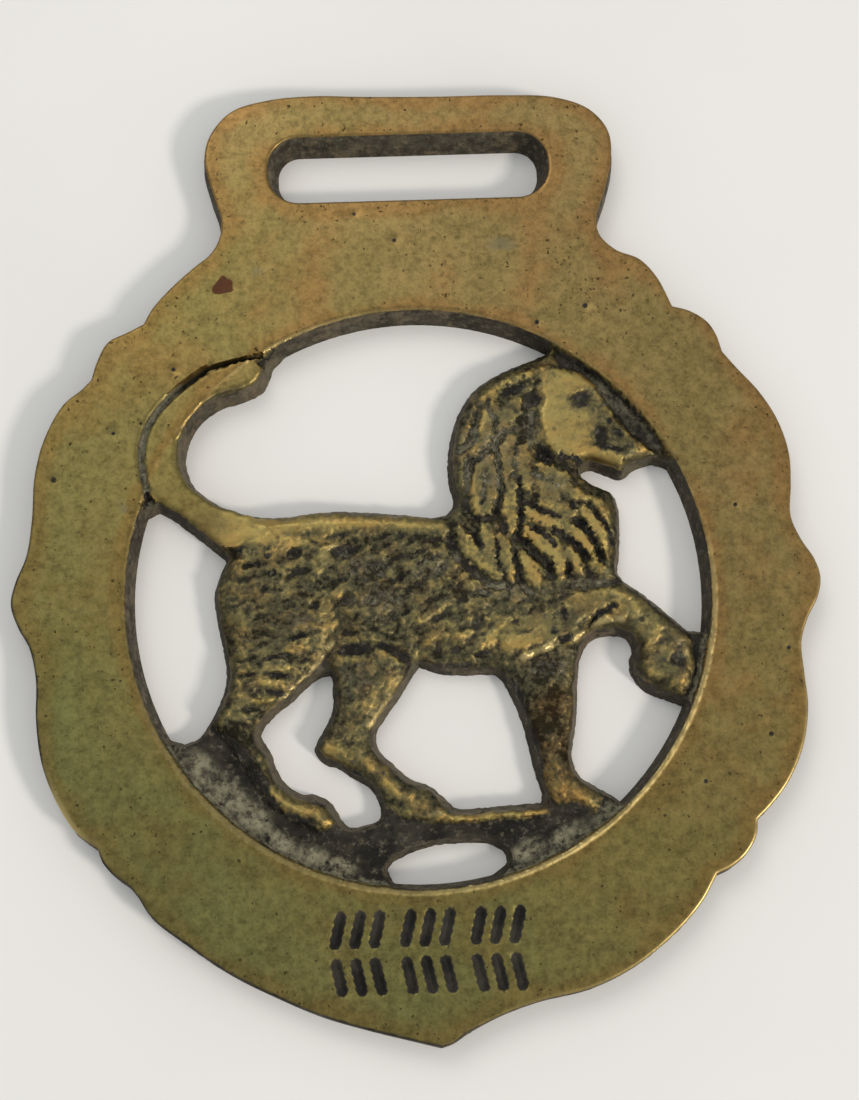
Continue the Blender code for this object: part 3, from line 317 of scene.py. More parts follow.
# Where the lion is paler or darker than the rest: place, half length, half width, turn, change
TINTS = (
    (-17.2, 6.8, 4.6, 1.8, -8, 1.0), (-10.0, 6.4, 5.4, 1.5, 2, 0.62),
    (-1.5, 6.6, 5.0, 1.0, -2, 0.42), (-9.0, 3.4, 0.7, 1.7, -8, 0.4),
    (-8.6, -2.2, 0.8, 2.4, 0, 0.45), (-10.6, -3.0, 1.5, 0.4, 12, 0.35),
    (-13.5, 4.6, 3.2, 0.9, 0, 0.3), (-11.6, -5.0, 1.3, 0.4, 8, 0.35),
    (-13.2, -6.7, 1.6, 0.35, 6, 0.35), (-14.0, -8.1, 1.4, 0.4, 0, 0.35),
    (-15.5, -9.4, 1.6, 0.5, -10, 0.3), (-16.5, -4.6, 1.2, 0.5, 0, 0.2),
    (-16.6, -11.3, 1.2, 0.4, 0, 0.2), (-3.0, 1.5, 4.2, 2.8, 0, -0.12),
    (2.8, -4.6, 2.8, 0.9, 8, 0.2), (0.6, -2.6, 2.6, 0.6, 28, 0.25), (8.6, -5.2, 2.4, 0.9, 4, 0.35),
    (7.0, -4.0, 1.2, 0.4, 50, 0.3), (11.6, -3.4, 1.6, 0.9, 0, 0.2),
    (3.6, -1.4, 2.0, 0.6, 14, 0.15), (15.5, -1.4, 2.8, 0.8, 20, 0.4),
    (8.4, -4.2, 4.2, 2.0, 0, 0.36), (18.8, -1.6, 2.2, 1.0, -18, 0.38),
    (21.2, -4.2, 1.2, 2.4, 30, 0.3), (22.4, -7.0, 1.4, 1.6, 0, 0.1),
    (18.8, 14.9, 1.7, 1.6, 0, -0.3), (18.2, 12.6, 2.2, 0.5, -18, 0.3),
    (10.6, 20.8, 2.2, 0.4, -4, 0.35), (18.2, 16.6, 0.9, 2.6, 24, 0.2),
    (18.0, 12.0, 1.8, 0.4, -16, 0.4), (7.6, 19.2, 2.4, 0.7, 38, 0.15),
    (6.8, 15.6, 0.7, 1.8, 8, 0.2), (8.6, 12.2, 0.6, 2.0, 6, 0.15), (5.8, 9.4, 0.7, 1.8, 0, 0.1),
    (12.0, 6.2, 1.8, 0.5, -26, 0.3), (15.4, 4.2, 1.4, 0.4, -50, 0.35),
    (11.8, 4.0, 1.6, 0.4, -40, 0.3), (10.5, 1.5, 0.5, 1.6, 22, 0.3),
    (13.4, 1.8, 0.4, 1.4, 0, 0.25), (5.4, 3.2, 0.6, 2.2, 40, 0.2), (8.4, 2.6, 0.4, 1.8, 8, 0.3),
    (17.2, 5.0, 0.5, 1.8, 24, 0.2), (13.4, 4.4, 4.2, 4.4, 0, 0.16),
    (12.2, 9.6, 3.4, 1.8, -10, 0.12), (8.0, 0.0, 4.4, 0.7, -8, -0.1),
    (19.7, 17.0, 0.9, 3.8, 33, -0.4), (6.2, 13.6, 2.0, 4.4, 8, -0.14),
    (-5.2, -9.4, 2.2, 1.6, 0, 0.05), (-4.6, -9.6, 0.6, 1.8, -35, 0.35),
    (-8.0, -14.7, 1.7, 0.8, -14, 0.42), (-5.0, -15.8, 1.6, 0.5, -30, 0.35),
    (-1.3, -19.2, 2.4, 1.1, -20, 0.08), (-3.2, -18.0, 1.2, 0.6, -40, 0.4),
    (-11.6, -19.2, 2.4, 0.6, -24, 0.32), (11.4, -10.0, 3.0, 4.0, 0, -0.3),
    (11.6, -14.6, 2.0, 3.0, 0, -0.25), (-17.2, -13.6, 1.4, 2.4, 30, -1.0),
    (-15.7, -16.6, 1.2, 2.6, 26, -1.1), (-14.0, -19.6, 1.6, 0.9, -40, -0.8),
    (-11.6, -21.2, 2.6, 0.9, -24, -0.5), (-4.0, -21.0, 1.2, 1.2, 0, -0.3),
    (13.4, -18.9, 2.2, 0.7, -26, 0.3), (6.0, -20.6, 4.2, 0.35, 0, 0.3),
    (13.6, -9.0, 0.3, 4.0, 2, 0.2), (-17.9, -0.5, 0.5, 4.0, 0, 0.1),
)

# The smooth side of the head
CHEEK = ((12.5, 20.3), (14.5, 20.7), (16.6, 20.5), (17.4, 19.4), (16.2, 19.1), (15.0, 18.3),
         (15.2, 17.2), (16.7, 16.9), (17.1, 16.1), (16.8, 14.6), (16.4, 13.3), (17.4, 12.6),
         (18.9, 11.9), (18.8, 11.4), (16.6, 12.1), (14.3, 12.4), (13.3, 13.1), (12.5, 14.5),
         (11.9, 16.0), (12.3, 17.5), (12.5, 18.8))

# Pale dust caught on low ground: place, half length, half width, turn
DUST = (
    (-20.2, -15.9, 2.4, 1.2, -52), (-18.0, -18.1, 2.4, 1.4, -46), (-15.9, -20.2, 2.2, 1.3, -42),
    (-13.4, -22.7, 2.2, 0.9, -36), (-10.4, -24.0, 2.2, 1.0, -24), (-8.0, -24.8, 1.6, 0.7, -16),
    (9.2, -24.2, 1.8, 1.1, 22), (12.8, -22.9, 2.2, 0.9, 30), (16.2, -20.9, 1.6, 0.6, 40),
    (-6.4, -7.9, 1.8, 1.6, 0), (-10.9, -2.6, 1.2, 0.8, 0), (1.5, 2.4, 2.6, 1.0, 20),
    (-5.0, 2.4, 2.4, 1.2, 0), (-3.6, -1.0, 2.6, 1.6, 0), (6.5, 13.0, 3.6, 5.0, 10),
    (17.9, 18.2, 0.7, 1.8, 36), (11.0, 15.4, 0.7, 2.2, 0), (12.8, 9.9, 2.6, 0.9, -14),
    (15.8, 0.2, 2.4, 0.6, 0), (24.2, -5.6, 0.8, 1.6, 20), (19.6, 18.4, 5.0, 1.3, -50),
    (23.6, 13.6, 2.6, 0.9, -62), (12.0, -7.5, 2.6, 0.8, 0), (8.0, -0.2, 3.6, 0.9, -6),
)

# Stains on the ring: place, half length, half width, turn; the first is rust, the rest are grey
STAINS = ((-17.8, 30.2, 1.15, 0.95, 20), (-14.3, 31.5, 0.45, 0.4, 0), (9.2, 33.6, 1.5, 0.7, 0),
          (-27.4, 8.6, 0.45, 0.6, 0))

# Painted highlights on the ring's edges, a line on the opening's upper-left rim and a glint on the
# outline's lower left: the way there from the middle in degrees, and its spread
CREST_TURN = 116.0
CREST_SPREAD = 17.0
GLINT_TURN = -149.0
GLINT_SPREAD = 5.0

# Many dark specks together on the ring, and the warm brown lower foreleg
SPECKS_PLACE = (17.5, 30.5)
SPECKS_SPREAD = 4.5
WARM_FORELEG = (12.6, -15.0, 3.6, 6.5, 4.0)

# Blow holes in the polished face: place and radius
PITS = ((-33.9, 11.7, 0.4), (-22.6, 22.1, 0.28), (-28.3, 16.0, 0.25), (-25.7, 16.9, 0.25),
        (-1.2, 34.4, 0.28), (-5.0, 37.2, 0.25), (12.2, 25.7, 0.3), (25.5, -18.5, 0.3),
        (31.8, -14.4, 0.3), (34.0, -6.5, 0.28), (30.0, 7.2, 0.28), (16.9, 27.2, 0.35))

# Creases cut into the figure: depth, half width, then the line
CREASES = (
    (0.4, 0.32, ((15.6, -3.9), (16.2, -3.0), (17.4, -2.3), (18.0, -1.9))),
    (0.55, 0.42, ((3.1, 4.9), (3.5, 3.5), (4.6, 2.2), (5.8, 1.1), (7.0, 0.4), (8.2, 0.2))),
    (0.25, 0.18, ((7.4, 4.0), (7.5, 3.0), (7.6, 2.0))),
    (0.3, 0.28, ((5.4, 5.2), (5.9, 4.2))),
    (0.45, 0.3, ((9.1, 3.4), (9.3, 1.6), (9.8, 0.1), (10.3, -0.6))),
    (0.5, 0.36, ((10.0, 4.5), (10.9, 3.3), (11.9, 2.5), (12.4, 2.0))),
    (0.45, 0.32, ((10.9, 5.6), (12.0, 4.9), (12.8, 3.9))),
    (0.55, 0.4, ((12.9, 5.4), (14.3, 4.4), (15.2, 3.6), (15.8, 2.6))),
    (0.5, 0.4, ((15.0, 6.3), (15.6, 5.7), (16.3, 4.9), (16.8, 3.8), (17.1, 2.6))),
    (0.3, 0.26, ((12.3, 2.0), (12.4, 0.9))),
    (0.3, 0.26, ((13.9, 2.3), (14.0, 1.0))),
    (0.3, 0.22, ((16.8, 6.8), (17.8, 5.6), (18.4, 4.0))),
    (0.45, 0.3, ((7.9, 12.8), (7.9, 11.0), (7.9, 9.2), (7.6, 7.4))),
    (0.4, 0.26, ((9.8, 10.6), (9.8, 8.4), (9.7, 6.4), (9.5, 4.8))),
    (0.3, 0.24, ((5.0, 12.6), (4.8, 11.0), (5.0, 9.5))),
    (0.18, 0.2, ((6.6, 11.2), (6.5, 9.8), (6.2, 8.2))),
    (0.35, 0.28, ((8.4, 15.2), (7.9, 14.2), (7.8, 13.2))),
    (0.4, 0.36, ((6.2, 16.9), (5.7, 15.4), (5.4, 14.2), (4.4, 13.5))),
    (0.3, 0.22, ((7.2, 18.2), (7.3, 16.9), (7.9, 15.9))),
    (0.25, 0.22, ((10.3, 8.2), (11.8, 7.4), (13.4, 6.6))),
    (0.3, 0.3, ((14.0, 12.5), (16.2, 11.8), (18.4, 11.0))),
)

# Bright lines along edges that face the key light, partly rubbed by handling and partly painted
# highlight: half width, how bright, then the line
WORN_AND_HIGHLIGHT_LINES = (
    (0.24, 1.0, ((-8.2, -4.5), (-9.6, -6.3), (-11.6, -8.4), (-13.6, -10.2), (-15.2, -11.8))),
    (0.28, 0.9, ((14.4, -5.1), (15.4, -4.3), (16.4, -3.6), (17.8, -3.2), (18.8, -3.3))),
    (0.25, 0.8, ((15.4, -3.9), (15.9, -2.9))),
    (0.3, 1.0, ((9.4, -6.5), (10.4, -6.1), (11.6, -5.7), (12.6, -5.2))),
    (0.22, 0.7, ((-2.9, -9.6), (-3.9, -11.0), (-4.9, -12.3))),
    (0.22, 1.0, ((16.2, 12.3), (17.6, 11.8), (19.3, 11.2))),
    (0.18, 0.6, ((20.4, 12.2), (21.6, 12.5), (22.6, 12.8))),
    (0.18, 0.6, ((0.2, -20.6), (1.2, -20.5))),
    (0.2, 0.7, ((-9.0, 3.6), (-8.4, 4.3), (-7.6, 4.7))),
    (0.18, 0.6, ((-12.8, 1.1), (-12.4, 2.0))),
)


def smooth_line(points, step, closed=False):
    """Evenly spaced points on a smooth curve through the given ones (centripetal)."""
    pts = np.array(points, float)
    if closed:
        pts = np.vstack((pts[-1], pts, pts[0], pts[1]))
    else:
        pts = np.vstack((2 * pts[0] - pts[1], pts, 2 * pts[-1] - pts[-2]))
    dense = []
    for i in range(1, len(pts) - 2):
        p0, p1, p2, p3 = pts[i - 1:i + 3]
        k0 = 0.0
        k1 = k0 + math.sqrt(math.dist(p0, p1))
        k2 = k1 + math.sqrt(math.dist(p1, p2))
        k3 = k2 + math.sqrt(math.dist(p2, p3))
        for s in np.linspace(k1, k2, 16, endpoint=False):
            a1 = p0 * (k1 - s) / (k1 - k0) + p1 * (s - k0) / (k1 - k0)
            a2 = p1 * (k2 - s) / (k2 - k1) + p2 * (s - k1) / (k2 - k1)
            a3 = p2 * (k3 - s) / (k3 - k2) + p3 * (s - k2) / (k3 - k2)
            b1 = a1 * (k2 - s) / (k2 - k0) + a2 * (s - k0) / (k2 - k0)
            b2 = a2 * (k3 - s) / (k3 - k1) + a3 * (s - k1) / (k3 - k1)
            dense.append(b1 * (k2 - s) / (k2 - k1) + b2 * (s - k1) / (k2 - k1))
    dense.append(pts[-2])
    return even_line(np.array(dense), step)


def even_line(line, step):
    """The same line with its points about one step apart; both ends are kept."""
    length = np.concatenate(([0.0], np.cumsum(np.hypot(*np.diff(line, axis=0).T))))
    count = max(1, int(round(length[-1] / step)))
    at = np.linspace(0.0, length[-1], count + 1)
    return np.column_stack((np.interp(at, length, line[:, 0]), np.interp(at, length, line[:, 1])))


def arc_line(start, end, radius, step):
    count = max(2, int(round(abs(math.radians(end - start)) * radius / step)))
    at = np.radians(np.linspace(start, end, count + 1))
    return radius * np.column_stack((np.cos(at), np.sin(at)))


def outline_loop(step):
    return np.vstack([smooth_line(lobe, step)[:-1] for lobe in LOBES])


def slot_loop(step):
    rows = []
    half_x = SLOT_LENGTH / 2 - SLOT_CORNER
    half_y = SLOT_HEIGHT / 2 - SLOT_CORNER
    for quarter, (sx, sy) in enumerate(((1, 1), (-1, 1), (-1, -1), (1, -1))):
        for turn in np.radians(np.linspace(90 * quarter, 90 * quarter + 90, 19)):
            rows.append((SLOT_CENTRE[0] + sx * half_x + SLOT_CORNER * math.cos(turn),
                         SLOT_CENTRE[1] + sy * half_y + SLOT_CORNER * math.sin(turn)))
    rows.append(rows[0])
    return even_line(np.array(rows), step)[:-1]


def opening_loop(rows, step):
    """One opening of the figure, on the back."""
    lines = []
    single = len(rows) == 1
    for kind, *data in rows:
        if kind == "arc":
            lines.append(arc_line(data[0], data[1], OPENING_RADIUS - OPENING_DRAFT, step))
        else:
            line = smooth_line(data[0], step, closed=single)
            lines.append(line[:-1] if single else line)
    loop = np.vstack(lines)
    return even_line(np.vstack((loop, loop[:1])), step)[:-1]


def area_of(loop):
    x, y = loop.T
    return 0.5 * float(np.sum(x * np.roll(y, -1) - np.roll(x, -1) * y))


def loop_normals(loop, reach):
    """Unit vectors away from what the loop encloses, from the points that far along it."""
    ahead = np.roll(loop, -reach, axis=0) - np.roll(loop, reach, axis=0)
    ahead /= np.hypot(*ahead.T)[:, None]
    side = 1.0 if area_of(loop) > 0 else -1.0
    return side * np.column_stack((ahead[:, 1], -ahead[:, 0]))


def grown(loop, distance):
    """The loop moved away from what it encloses, by one distance or one for each point."""
    return loop + loop_normals(loop, 2) * np.broadcast_to(distance, len(loop))[:, None]


def distance_to(points, line, closed=True, widths=None, reach=None):
    """Distance to a line; with widths, how deep a point is inside a round limb."""
    start = line
    end = np.roll(line, -1, axis=0)
    if not closed:
        start = start[:-1]
        end = end[:-1]
    best = np.full(len(points), 1e3)
    if reach is None:
        near = np.arange(len(points))
    else:
        low = line.min(axis=0) - reach
        high = line.max(axis=0) + reach
        near = np.where(np.all((points > low) & (points < high), axis=1))[0]
    spots = points[near]
    for i in range(len(start)):
        run = end[i] - start[i]
        share = np.clip(((spots - start[i]) @ run) / float(run @ run), 0.0, 1.0)
        away = np.hypot(*(spots - start[i] - share[:, None] * run).T)
        if widths is not None:
            away = away - (widths[i] + (widths[i + 1] - widths[i]) * share)
        best[near] = np.minimum(best[near], away)
    return best if widths is None else -best


def inside(points, loop):
    x, y = points.T
    result = np.zeros(len(points), bool)
    for (x1, y1), (x2, y2) in zip(loop, np.roll(loop, -1, axis=0)):
        if y1 == y2:
            continue
        crosses = (y1 > y) != (y2 > y)
        result ^= crosses & (x < (x2 - x1) * (y - y1) / (y2 - y1) + x1)
    return result


def on_metal(points, loops):
    """Whether each point is inside the first loop and outside the others."""
    keep = inside(points, loops[0])
    for loop in loops[1:]:
        keep &= ~inside(points, loop)
    return keep


def hexagon_grid(low, high, step):
    rows = []
    rise = step * math.sqrt(0.75)
    for j in range(int((high[1] - low[1]) / rise) + 1):
        xs = np.arange(low[0] + (j % 2) * step / 2, high[0], step)
        rows.append(np.column_stack((xs, np.full(len(xs), low[1] + j * rise))))
    return np.vstack(rows)


def mottle(points, scale, seed=0.0, stretch=(1.0, 1.0), turn=0.0, octaves=3):
    """Smooth noise of about -1 to 1 at each point; scale is its size in millimetres."""
    c, s = math.cos(math.radians(turn)), math.sin(math.radians(turn))
    u = (points[:, 0] * c + points[:, 1] * s) / (scale * stretch[0])
    v = (-points[:, 0] * s + points[:, 1] * c) / (scale * stretch[1])
    return np.array([noise.fractal(Vector((a, b, seed)), 0.9, 2.0, octaves)
                     for a, b in zip(u, v)])


def fade(value, low, high):
    t = np.clip((value - low) / (high - low), 0.0, 1.0)
    return t * t * (3 - 2 * t)


def oval_distance(points, x, y, long, wide, turn):
    """Distance from an oval's middle, 1 on the oval."""
    c, s = math.cos(math.radians(turn)), math.sin(math.radians(turn))
    dx, dy = points[:, 0] - x, points[:, 1] - y
    return np.hypot((dx * c + dy * s) / long, (-dx * s + dy * c) / wide)


def by_head(points):
    """Near the sunk ground between the head and the ring, where more dust lies."""
    return fade(points[:, 0] + points[:, 1], 24.0, 32.0)


def rounded(edge, width):
    """1 on an edge, falling to 0 one width inside, as a quarter round."""
    t = np.clip(edge / width, 0.0, 1.0)
    return 1.0 - np.sqrt(np.clip(1.0 - (1.0 - t) ** 2, 0.0, 1.0))


def smooth_max(a, b, blend):
    return np.maximum(a, b) + np.maximum(blend - np.abs(a - b), 0.0) ** 2 / (4 * blend)


def dome(depth, width):
    t = np.clip(depth / width, 0.0, 1.0)
    return (1.0 - (1.0 - t) ** 2) ** 0.62


def cushion(depth, sunk, width):
    """Height of one mass of the figure, from how deep a point is inside the mass."""
    ground = THICKNESS - GROUND_DEPTH
    edge = THICKNESS - FIGURE_EDGE_DEPTH
    top = edge + (FIGURE_EDGE_DEPTH - sunk) * dome(depth, width)
    return ground + (top - ground) * fade(depth, -0.35, 0.05)


class Casting:
    """The plan of the casting: its loops, and the height and finish of its front."""

    def __init__(self, settings):
        self.settings = settings
        step = settings.edge_step / MM
        self.outer = outline_loop(step)
        self.slot = slot_loop(step)
        self.openings = []
        self.backs = [grown(self.outer, OUTER_DRAFT), grown(self.slot, -SLOT_DRAFT)]
        for rows in OPENINGS:
            back = opening_loop(rows, step)
            on_ring = np.clip((np.hypot(*back.T) - OPENING_RADIUS + OPENING_DRAFT + 0.2) / 0.2, 0, 1)
            self.backs.append(grown(back, 0.08 * mottle(back, 0.5, 52.0) * (1.0 - 0.75 * on_ring)))
            uneven = 0.12 * mottle(back, 0.9, 50.0) + 0.12 * mottle(back, 0.4, 51.0)
            self.openings.append(grown(back, OPENING_DRAFT + uneven * (1.0 - 0.75 * on_ring)))
        self.faces = [self.outer, self.slot] + self.openings
        self.groove = smooth_line(TAIL_GROOVE, 0.4)
        self.tail = np.array(TAIL)[:, :2]
        self.tail_widths = np.array(TAIL)[:, 2]
        self.strokes = self.place_strokes()

    def place_strokes(self):
        """Short cut strokes in rows in the band under the lion."""
        s = self.settings
        lines = []
        for row, lean in zip((1, -1), STROKE_LEANS):
            y = STROKE_BAND_MIDDLE[1] + row * STROKE_ROW_PITCH / 2
            dx = 0.5 * s.stroke_length / MM * math.sin(math.radians(lean))
            dy = 0.5 * s.stroke_length / MM * math.cos(math.radians(lean))
            for group in (-1, 0, 1):
                for i in (-1, 0, 1):
                    x = STROKE_BAND_MIDDLE[0] + group * STROKE_GROUP_PITCH + i * STROKE_PITCH
                    lines.append(np.array(((x - dx, y - dy), (x + dx, y + dy))))
        return lines

    def edge_distance(self, points):
        """Distance to the openings of the figure, and to the outline or the slot."""
        rim = np.full(len(points), 1e3)
        for loop in self.openings:
            rim = np.minimum(rim, distance_to(points, loop, reach=8.0))
        outer = np.minimum(distance_to(points, self.outer, reach=6.0),
                           distance_to(points, self.slot, reach=6.0))
        return rim, outer

    def figure(self, points, rim):
        """Height, and masks of the finish, on the lion and the ground around it."""
        s = self.settings
        ground = THICKNESS - GROUND_DEPTH
        waver = np.column_stack((mottle(points, 1.2, 41.0), mottle(points, 1.2, 42.0)))
        tremble = np.column_stack((mottle(points, 0.38, 43.0), mottle(points, 0.38, 44.0)))
        ragged = points + 0.16 * waver + 0.13 * tremble
        height = np.full(len(points), ground)
        height += 0.25 * mottle(points, 1.3, 3.0) + 0.3 * mottle(points, 0.6, 4.0, octaves=4)
        depths = {}
        for name, (sunk, width, curve) in zip(("trunk", "haunch", "mane", "head"), CURVED_MASSES):
            loop = smooth_line(curve, 0.6, closed=True)[:-1]
            depth = distance_to(ragged, loop)
            depth = np.where(inside(ragged, loop), depth, -depth)
            depths[name] = depth
            mass = cushion(np.minimum(depth, rim), sunk, width)
            if name == "head":
                slope = fade(points[:, 0] + 0.45 * points[:, 1], 24.2, 29.0)
                mass = mass - 0.7 * slope
            height = smooth_max(height, mass, 0.7 if name == "head" else 0.2)
        for name, (sunk, width, data) in zip(("ridge", "near_hind", "far_hind", "foreleg",
                                              "raised", "ledge"), LIMBS):
            rows = np.array(data)
            depth = distance_to(ragged, rows[:, :2], closed=False, widths=rows[:, 2])
            depths[name] = depth
            mass = cushion(np.minimum(depth, rim), sunk, width)
            height = smooth_max(height, mass, 0.7 if name == "ridge" else 0.15)
        body = np.max([depths[n] for n in depths], axis=0)
        on_figure = fade(body, -0.2, 0.5)

        # Mane: locks stand over a sunk bed
        on_mane = fade(np.minimum(depths["mane"], rim), 0.2, 1.3)
        on_mane *= 1 - fade(depths["head"], -0.6, 0.5)
        swirl = ragged + 0.14 * tremble
        ridge = np.zeros(len(points))
        for lock in LOCKS:
            line = smooth_line(lock, 0.5)
            share = np.linspace(0.0, 1.0, len(line))
            widths = s.lock_width / MM * 0.5 * (0.5 + 0.75 * np.sin(math.pi * (0.12 + 0.8 * share)))
            away = -distance_to(swirl, line, closed=False, reach=1.8, widths=widths)
            ridge = np.maximum(ridge, 1.0 - fade(away, -0.5, 0.35))
        strands = mottle(ragged, 0.45, 9.0, stretch=(1.0, 1.8), turn=18.0)
        lumps = mottle(ragged, 1.0, 10.0)
        lift = s.lock_rise / MM * ridge - s.lock_gap / MM * (1.0 - ridge)
        lift *= 0.9 + 0.1 * fade(-points[:, 1], -12.0, -4.0)
        height += on_mane * (lift + 0.15 * strands + 0.12 * lumps)

        # Fur: short lumps along the coat
        fur_haunch = fade(depths["haunch"], 0.0, 1.2)
        fur_trunk = fade(np.maximum(depths["trunk"], depths["raised"]), 0.2, 1.6)
        fur_trunk *= (1 - fur_haunch) * (1 - fade(depths["mane"], -0.4, 0.3))
        back = fade(depths["ridge"], 0.0, 0.9)
        fur_trunk *= 1 - back
        lumps = mottle(ragged, 1.5, 5.0, stretch=(1.5, 0.7), turn=4.0)
        streaks = mottle(ragged, 1.5, 6.0, stretch=(1.5, 0.75), turn=30.0)
        grit = mottle(points, 0.36, 7.0)
        height += s.fur_depth / MM * (0.8 * fur_haunch * lumps + fur_trunk * streaks)
        far = fade(depths["far_hind"], 0.1, 1.0) * (1 - fur_haunch)
        fore = fade(depths["foreleg"], 0.1, 1.0) * (1 - fade(depths["raised"], -0.2, 0.6))
        height += 0.13 * far * mottle(ragged, 0.9, 8.0, stretch=(2.0, 0.6), turn=52.0)
        height += 0.13 * fore * mottle(ragged, 0.8, 8.5, stretch=(1.4, 0.8), turn=80.0)
        loop = smooth_line(CHEEK, 0.4, closed=True)[:-1]
        cheek = distance_to(swirl, loop, reach=2.0)
        cheek = fade(np.where(inside(swirl, loop), cheek, -cheek), -0.75, 0.75)
        smooth_back = back * (1 - 0.75 * fade(points[:, 0], -12.0, -7.0))
        paw = fade(depths["raised"], 0.2, 1.0) * fade(points[:, 0], 12.5, 14.5)
        calm = np.clip(0.82 * cheek + 0.85 * smooth_back + 0.5 * paw, 0.0, 1.0)
        height += 0.11 * grit * (1 - calm) * fade(rim, 0.0, 0.6) * (0.6 + 0.4 * on_figure)
        height += 0.05 * mottle(points, 2.2, 16.0) * on_figure

        # Hollows, creases, and what dirt and dust have settled there, with some painted shade under
        # the belly
        grime = np.zeros(len(points))
        for x, y, long, wide, turn, deep, dirty in HOLLOWS:
            bump = 1.0 - fade(oval_distance(ragged, x, y, long, wide, turn), 0.35, 1.35)
            height -= deep * bump
            grime = np.maximum(grime, dirty * bump)
        for deep, half, line in CREASES:
            away = distance_to(swirl, smooth_line(line, 0.5), closed=False, reach=1.5)
            cut = (1.0 - fade(away, 0.2 * half, 1.5 * half)) * on_figure
            height -= deep * cut
            grime = np.maximum(grime, cut)
        # Painted light on the mane: lock tops are painted paler and the gaps between locks darker
        tint_and_painted_light = 0.74 * cheek + on_mane * (0.3 * ridge - 0.1)
        for x, y, long, wide, turn, change in TINTS:
            tint_and_painted_light += change * (1.0 - fade(oval_distance(ragged, x, y, long, wide, turn), 0.5, 1.3))
        calm = np.maximum(calm, np.clip(1.5 * tint_and_painted_light - 0.1, 0.0, 0.8) * (1.0 - on_mane))
        dust = np.zeros(len(points))
        for x, y, long, wide, turn in DUST:
            spot = 1.0 - fade(oval_distance(ragged, x, y, long, wide, turn), 0.45, 1.3)
            dust = np.maximum(dust, spot)
        grime = np.maximum(grime, (0.7 - 0.3 * by_head(points)) * (1.0 - on_figure))
        dust *= 1.0 - 0.5 * by_head(points) * (1.0 - on_figure)
        return height, on_figure, calm, grime, tint_and_painted_light, dust

    def front(self, points):
        """Height over the back, and the masks of the finish, at points of the front."""
        s = self.settings
        from_middle = np.hypot(*points.T)
        rim, outer = self.edge_distance(points)
        within = np.where(from_middle < OPENING_RADIUS + 0.3)[0]
        parts = self.figure(points[within], rim[within])
        height, on_figure, calm, grime, tint_and_painted_light, dust = (np.zeros(len(points)) for _ in parts)
        for whole, part in zip((height, on_figure, calm, grime, tint_and_painted_light, dust), parts):
            whole[within] = part

        # The tail stands level with the ring
        tail_depth = distance_to(points, self.tail, closed=False, widths=self.tail_widths)
        flat = np.clip(np.minimum(tail_depth, rim) / 0.55, 0.0, 1.0)
        tail = THICKNESS - 0.32 * (1.0 - np.sqrt(1.0 - (1.0 - flat) ** 2))
        tail = tail - 0.02 + 0.02 * mottle(points, 3.0, 11.0)
        on_tail = (tail_depth >= 0.0)
        height = np.where(on_tail, np.maximum(height, tail), height)

        # The ring: a rough wall up from the ground, then the flat face with rubbed edges
        ring_edge = OPENING_RADIUS + 0.07 * mottle(points, 2.5, 12.0)
        wall = np.clip((from_middle - ring_edge + OPENING_DRAFT) / OPENING_DRAFT, 0.0, 1.0)
        ground = THICKNESS - GROUND_DEPTH
        low_side = fade(-points[:, 1] + 0.25 * points[:, 0], -2.0, 10.0)
        to_right = fade(points[:, 0], -10.0, 14.0)
        inner_edge = np.minimum(rim, np.abs(from_middle - ring_edge))
        inner_drop = s.edge_drop / MM * (0.45 + 0.55 * low_side)
        ring = ground + (THICKNESS - inner_drop - ground) * wall
        chamfer = s.edge_round / MM * (0.6 + 0.4 * low_side) * (1.0 + 0.25 * mottle(points, 0.9, 18.0))
        inner = np.clip(1.0 - inner_edge / chamfer, 0.0, 1.0) * inner_drop
        rounding = np.maximum(inner, rounded(outer, 0.5 * s.edge_round / MM) * 0.4 * s.edge_drop / MM)
        face = THICKNESS - rounding - 0.015 + 0.015 * mottle(points, 7.0, 13.0, octaves=2)
        on_ring = from_middle >= ring_edge
        ring = np.where(on_ring, face, ring)
        height = np.where(from_middle > ring_edge - OPENING_DRAFT, np.maximum(height, ring), height)

        away = distance_to(points, self.groove, closed=False, reach=2.0)
        wander = GROOVE_HALF_WIDTH * (0.6 + 0.4 * fade(-points[:, 0], 18.0, 23.0))
        wander *= 1.0 + 0.35 * mottle(points, 0.8, 14.0)
        groove_depth = 1.4 - 0.9 * fade(-points[:, 0], 20.0, 24.0)
        cut = THICKNESS - groove_depth * np.clip((wander - away) / (0.7 * wander), 0.0, 1.0)
        in_groove = np.clip((wander - away) / (0.6 * wander), 0.0, 1.0)
        height = np.where(away < wander, np.minimum(height, cut), height)

        in_stroke = np.zeros(len(points))
        near_stroke = np.zeros(len(points))
        for line in self.strokes:
            away = distance_to(points, line, closed=False, reach=1.5)
            share = away / (s.stroke_width / MM / 2)
            near_stroke = np.maximum(near_stroke, 1.0 - fade(share, 1.0, 1.35))
            in_stroke = np.maximum(in_stroke, np.clip(1.6 * (1.0 - share), 0.0, 1.0))
        height -= in_stroke * (s.stroke_depth / MM + 0.08 * mottle(points, 0.5, 15.0))

        in_pit = np.zeros(len(points))
        for x, y, radius in PITS:
            away = np.hypot(points[:, 0] - x, points[:, 1] - y) / radius
            in_pit = np.maximum(in_pit, np.clip(1.25 - away, 0.0, 1.0))
        height -= 0.12 * in_pit

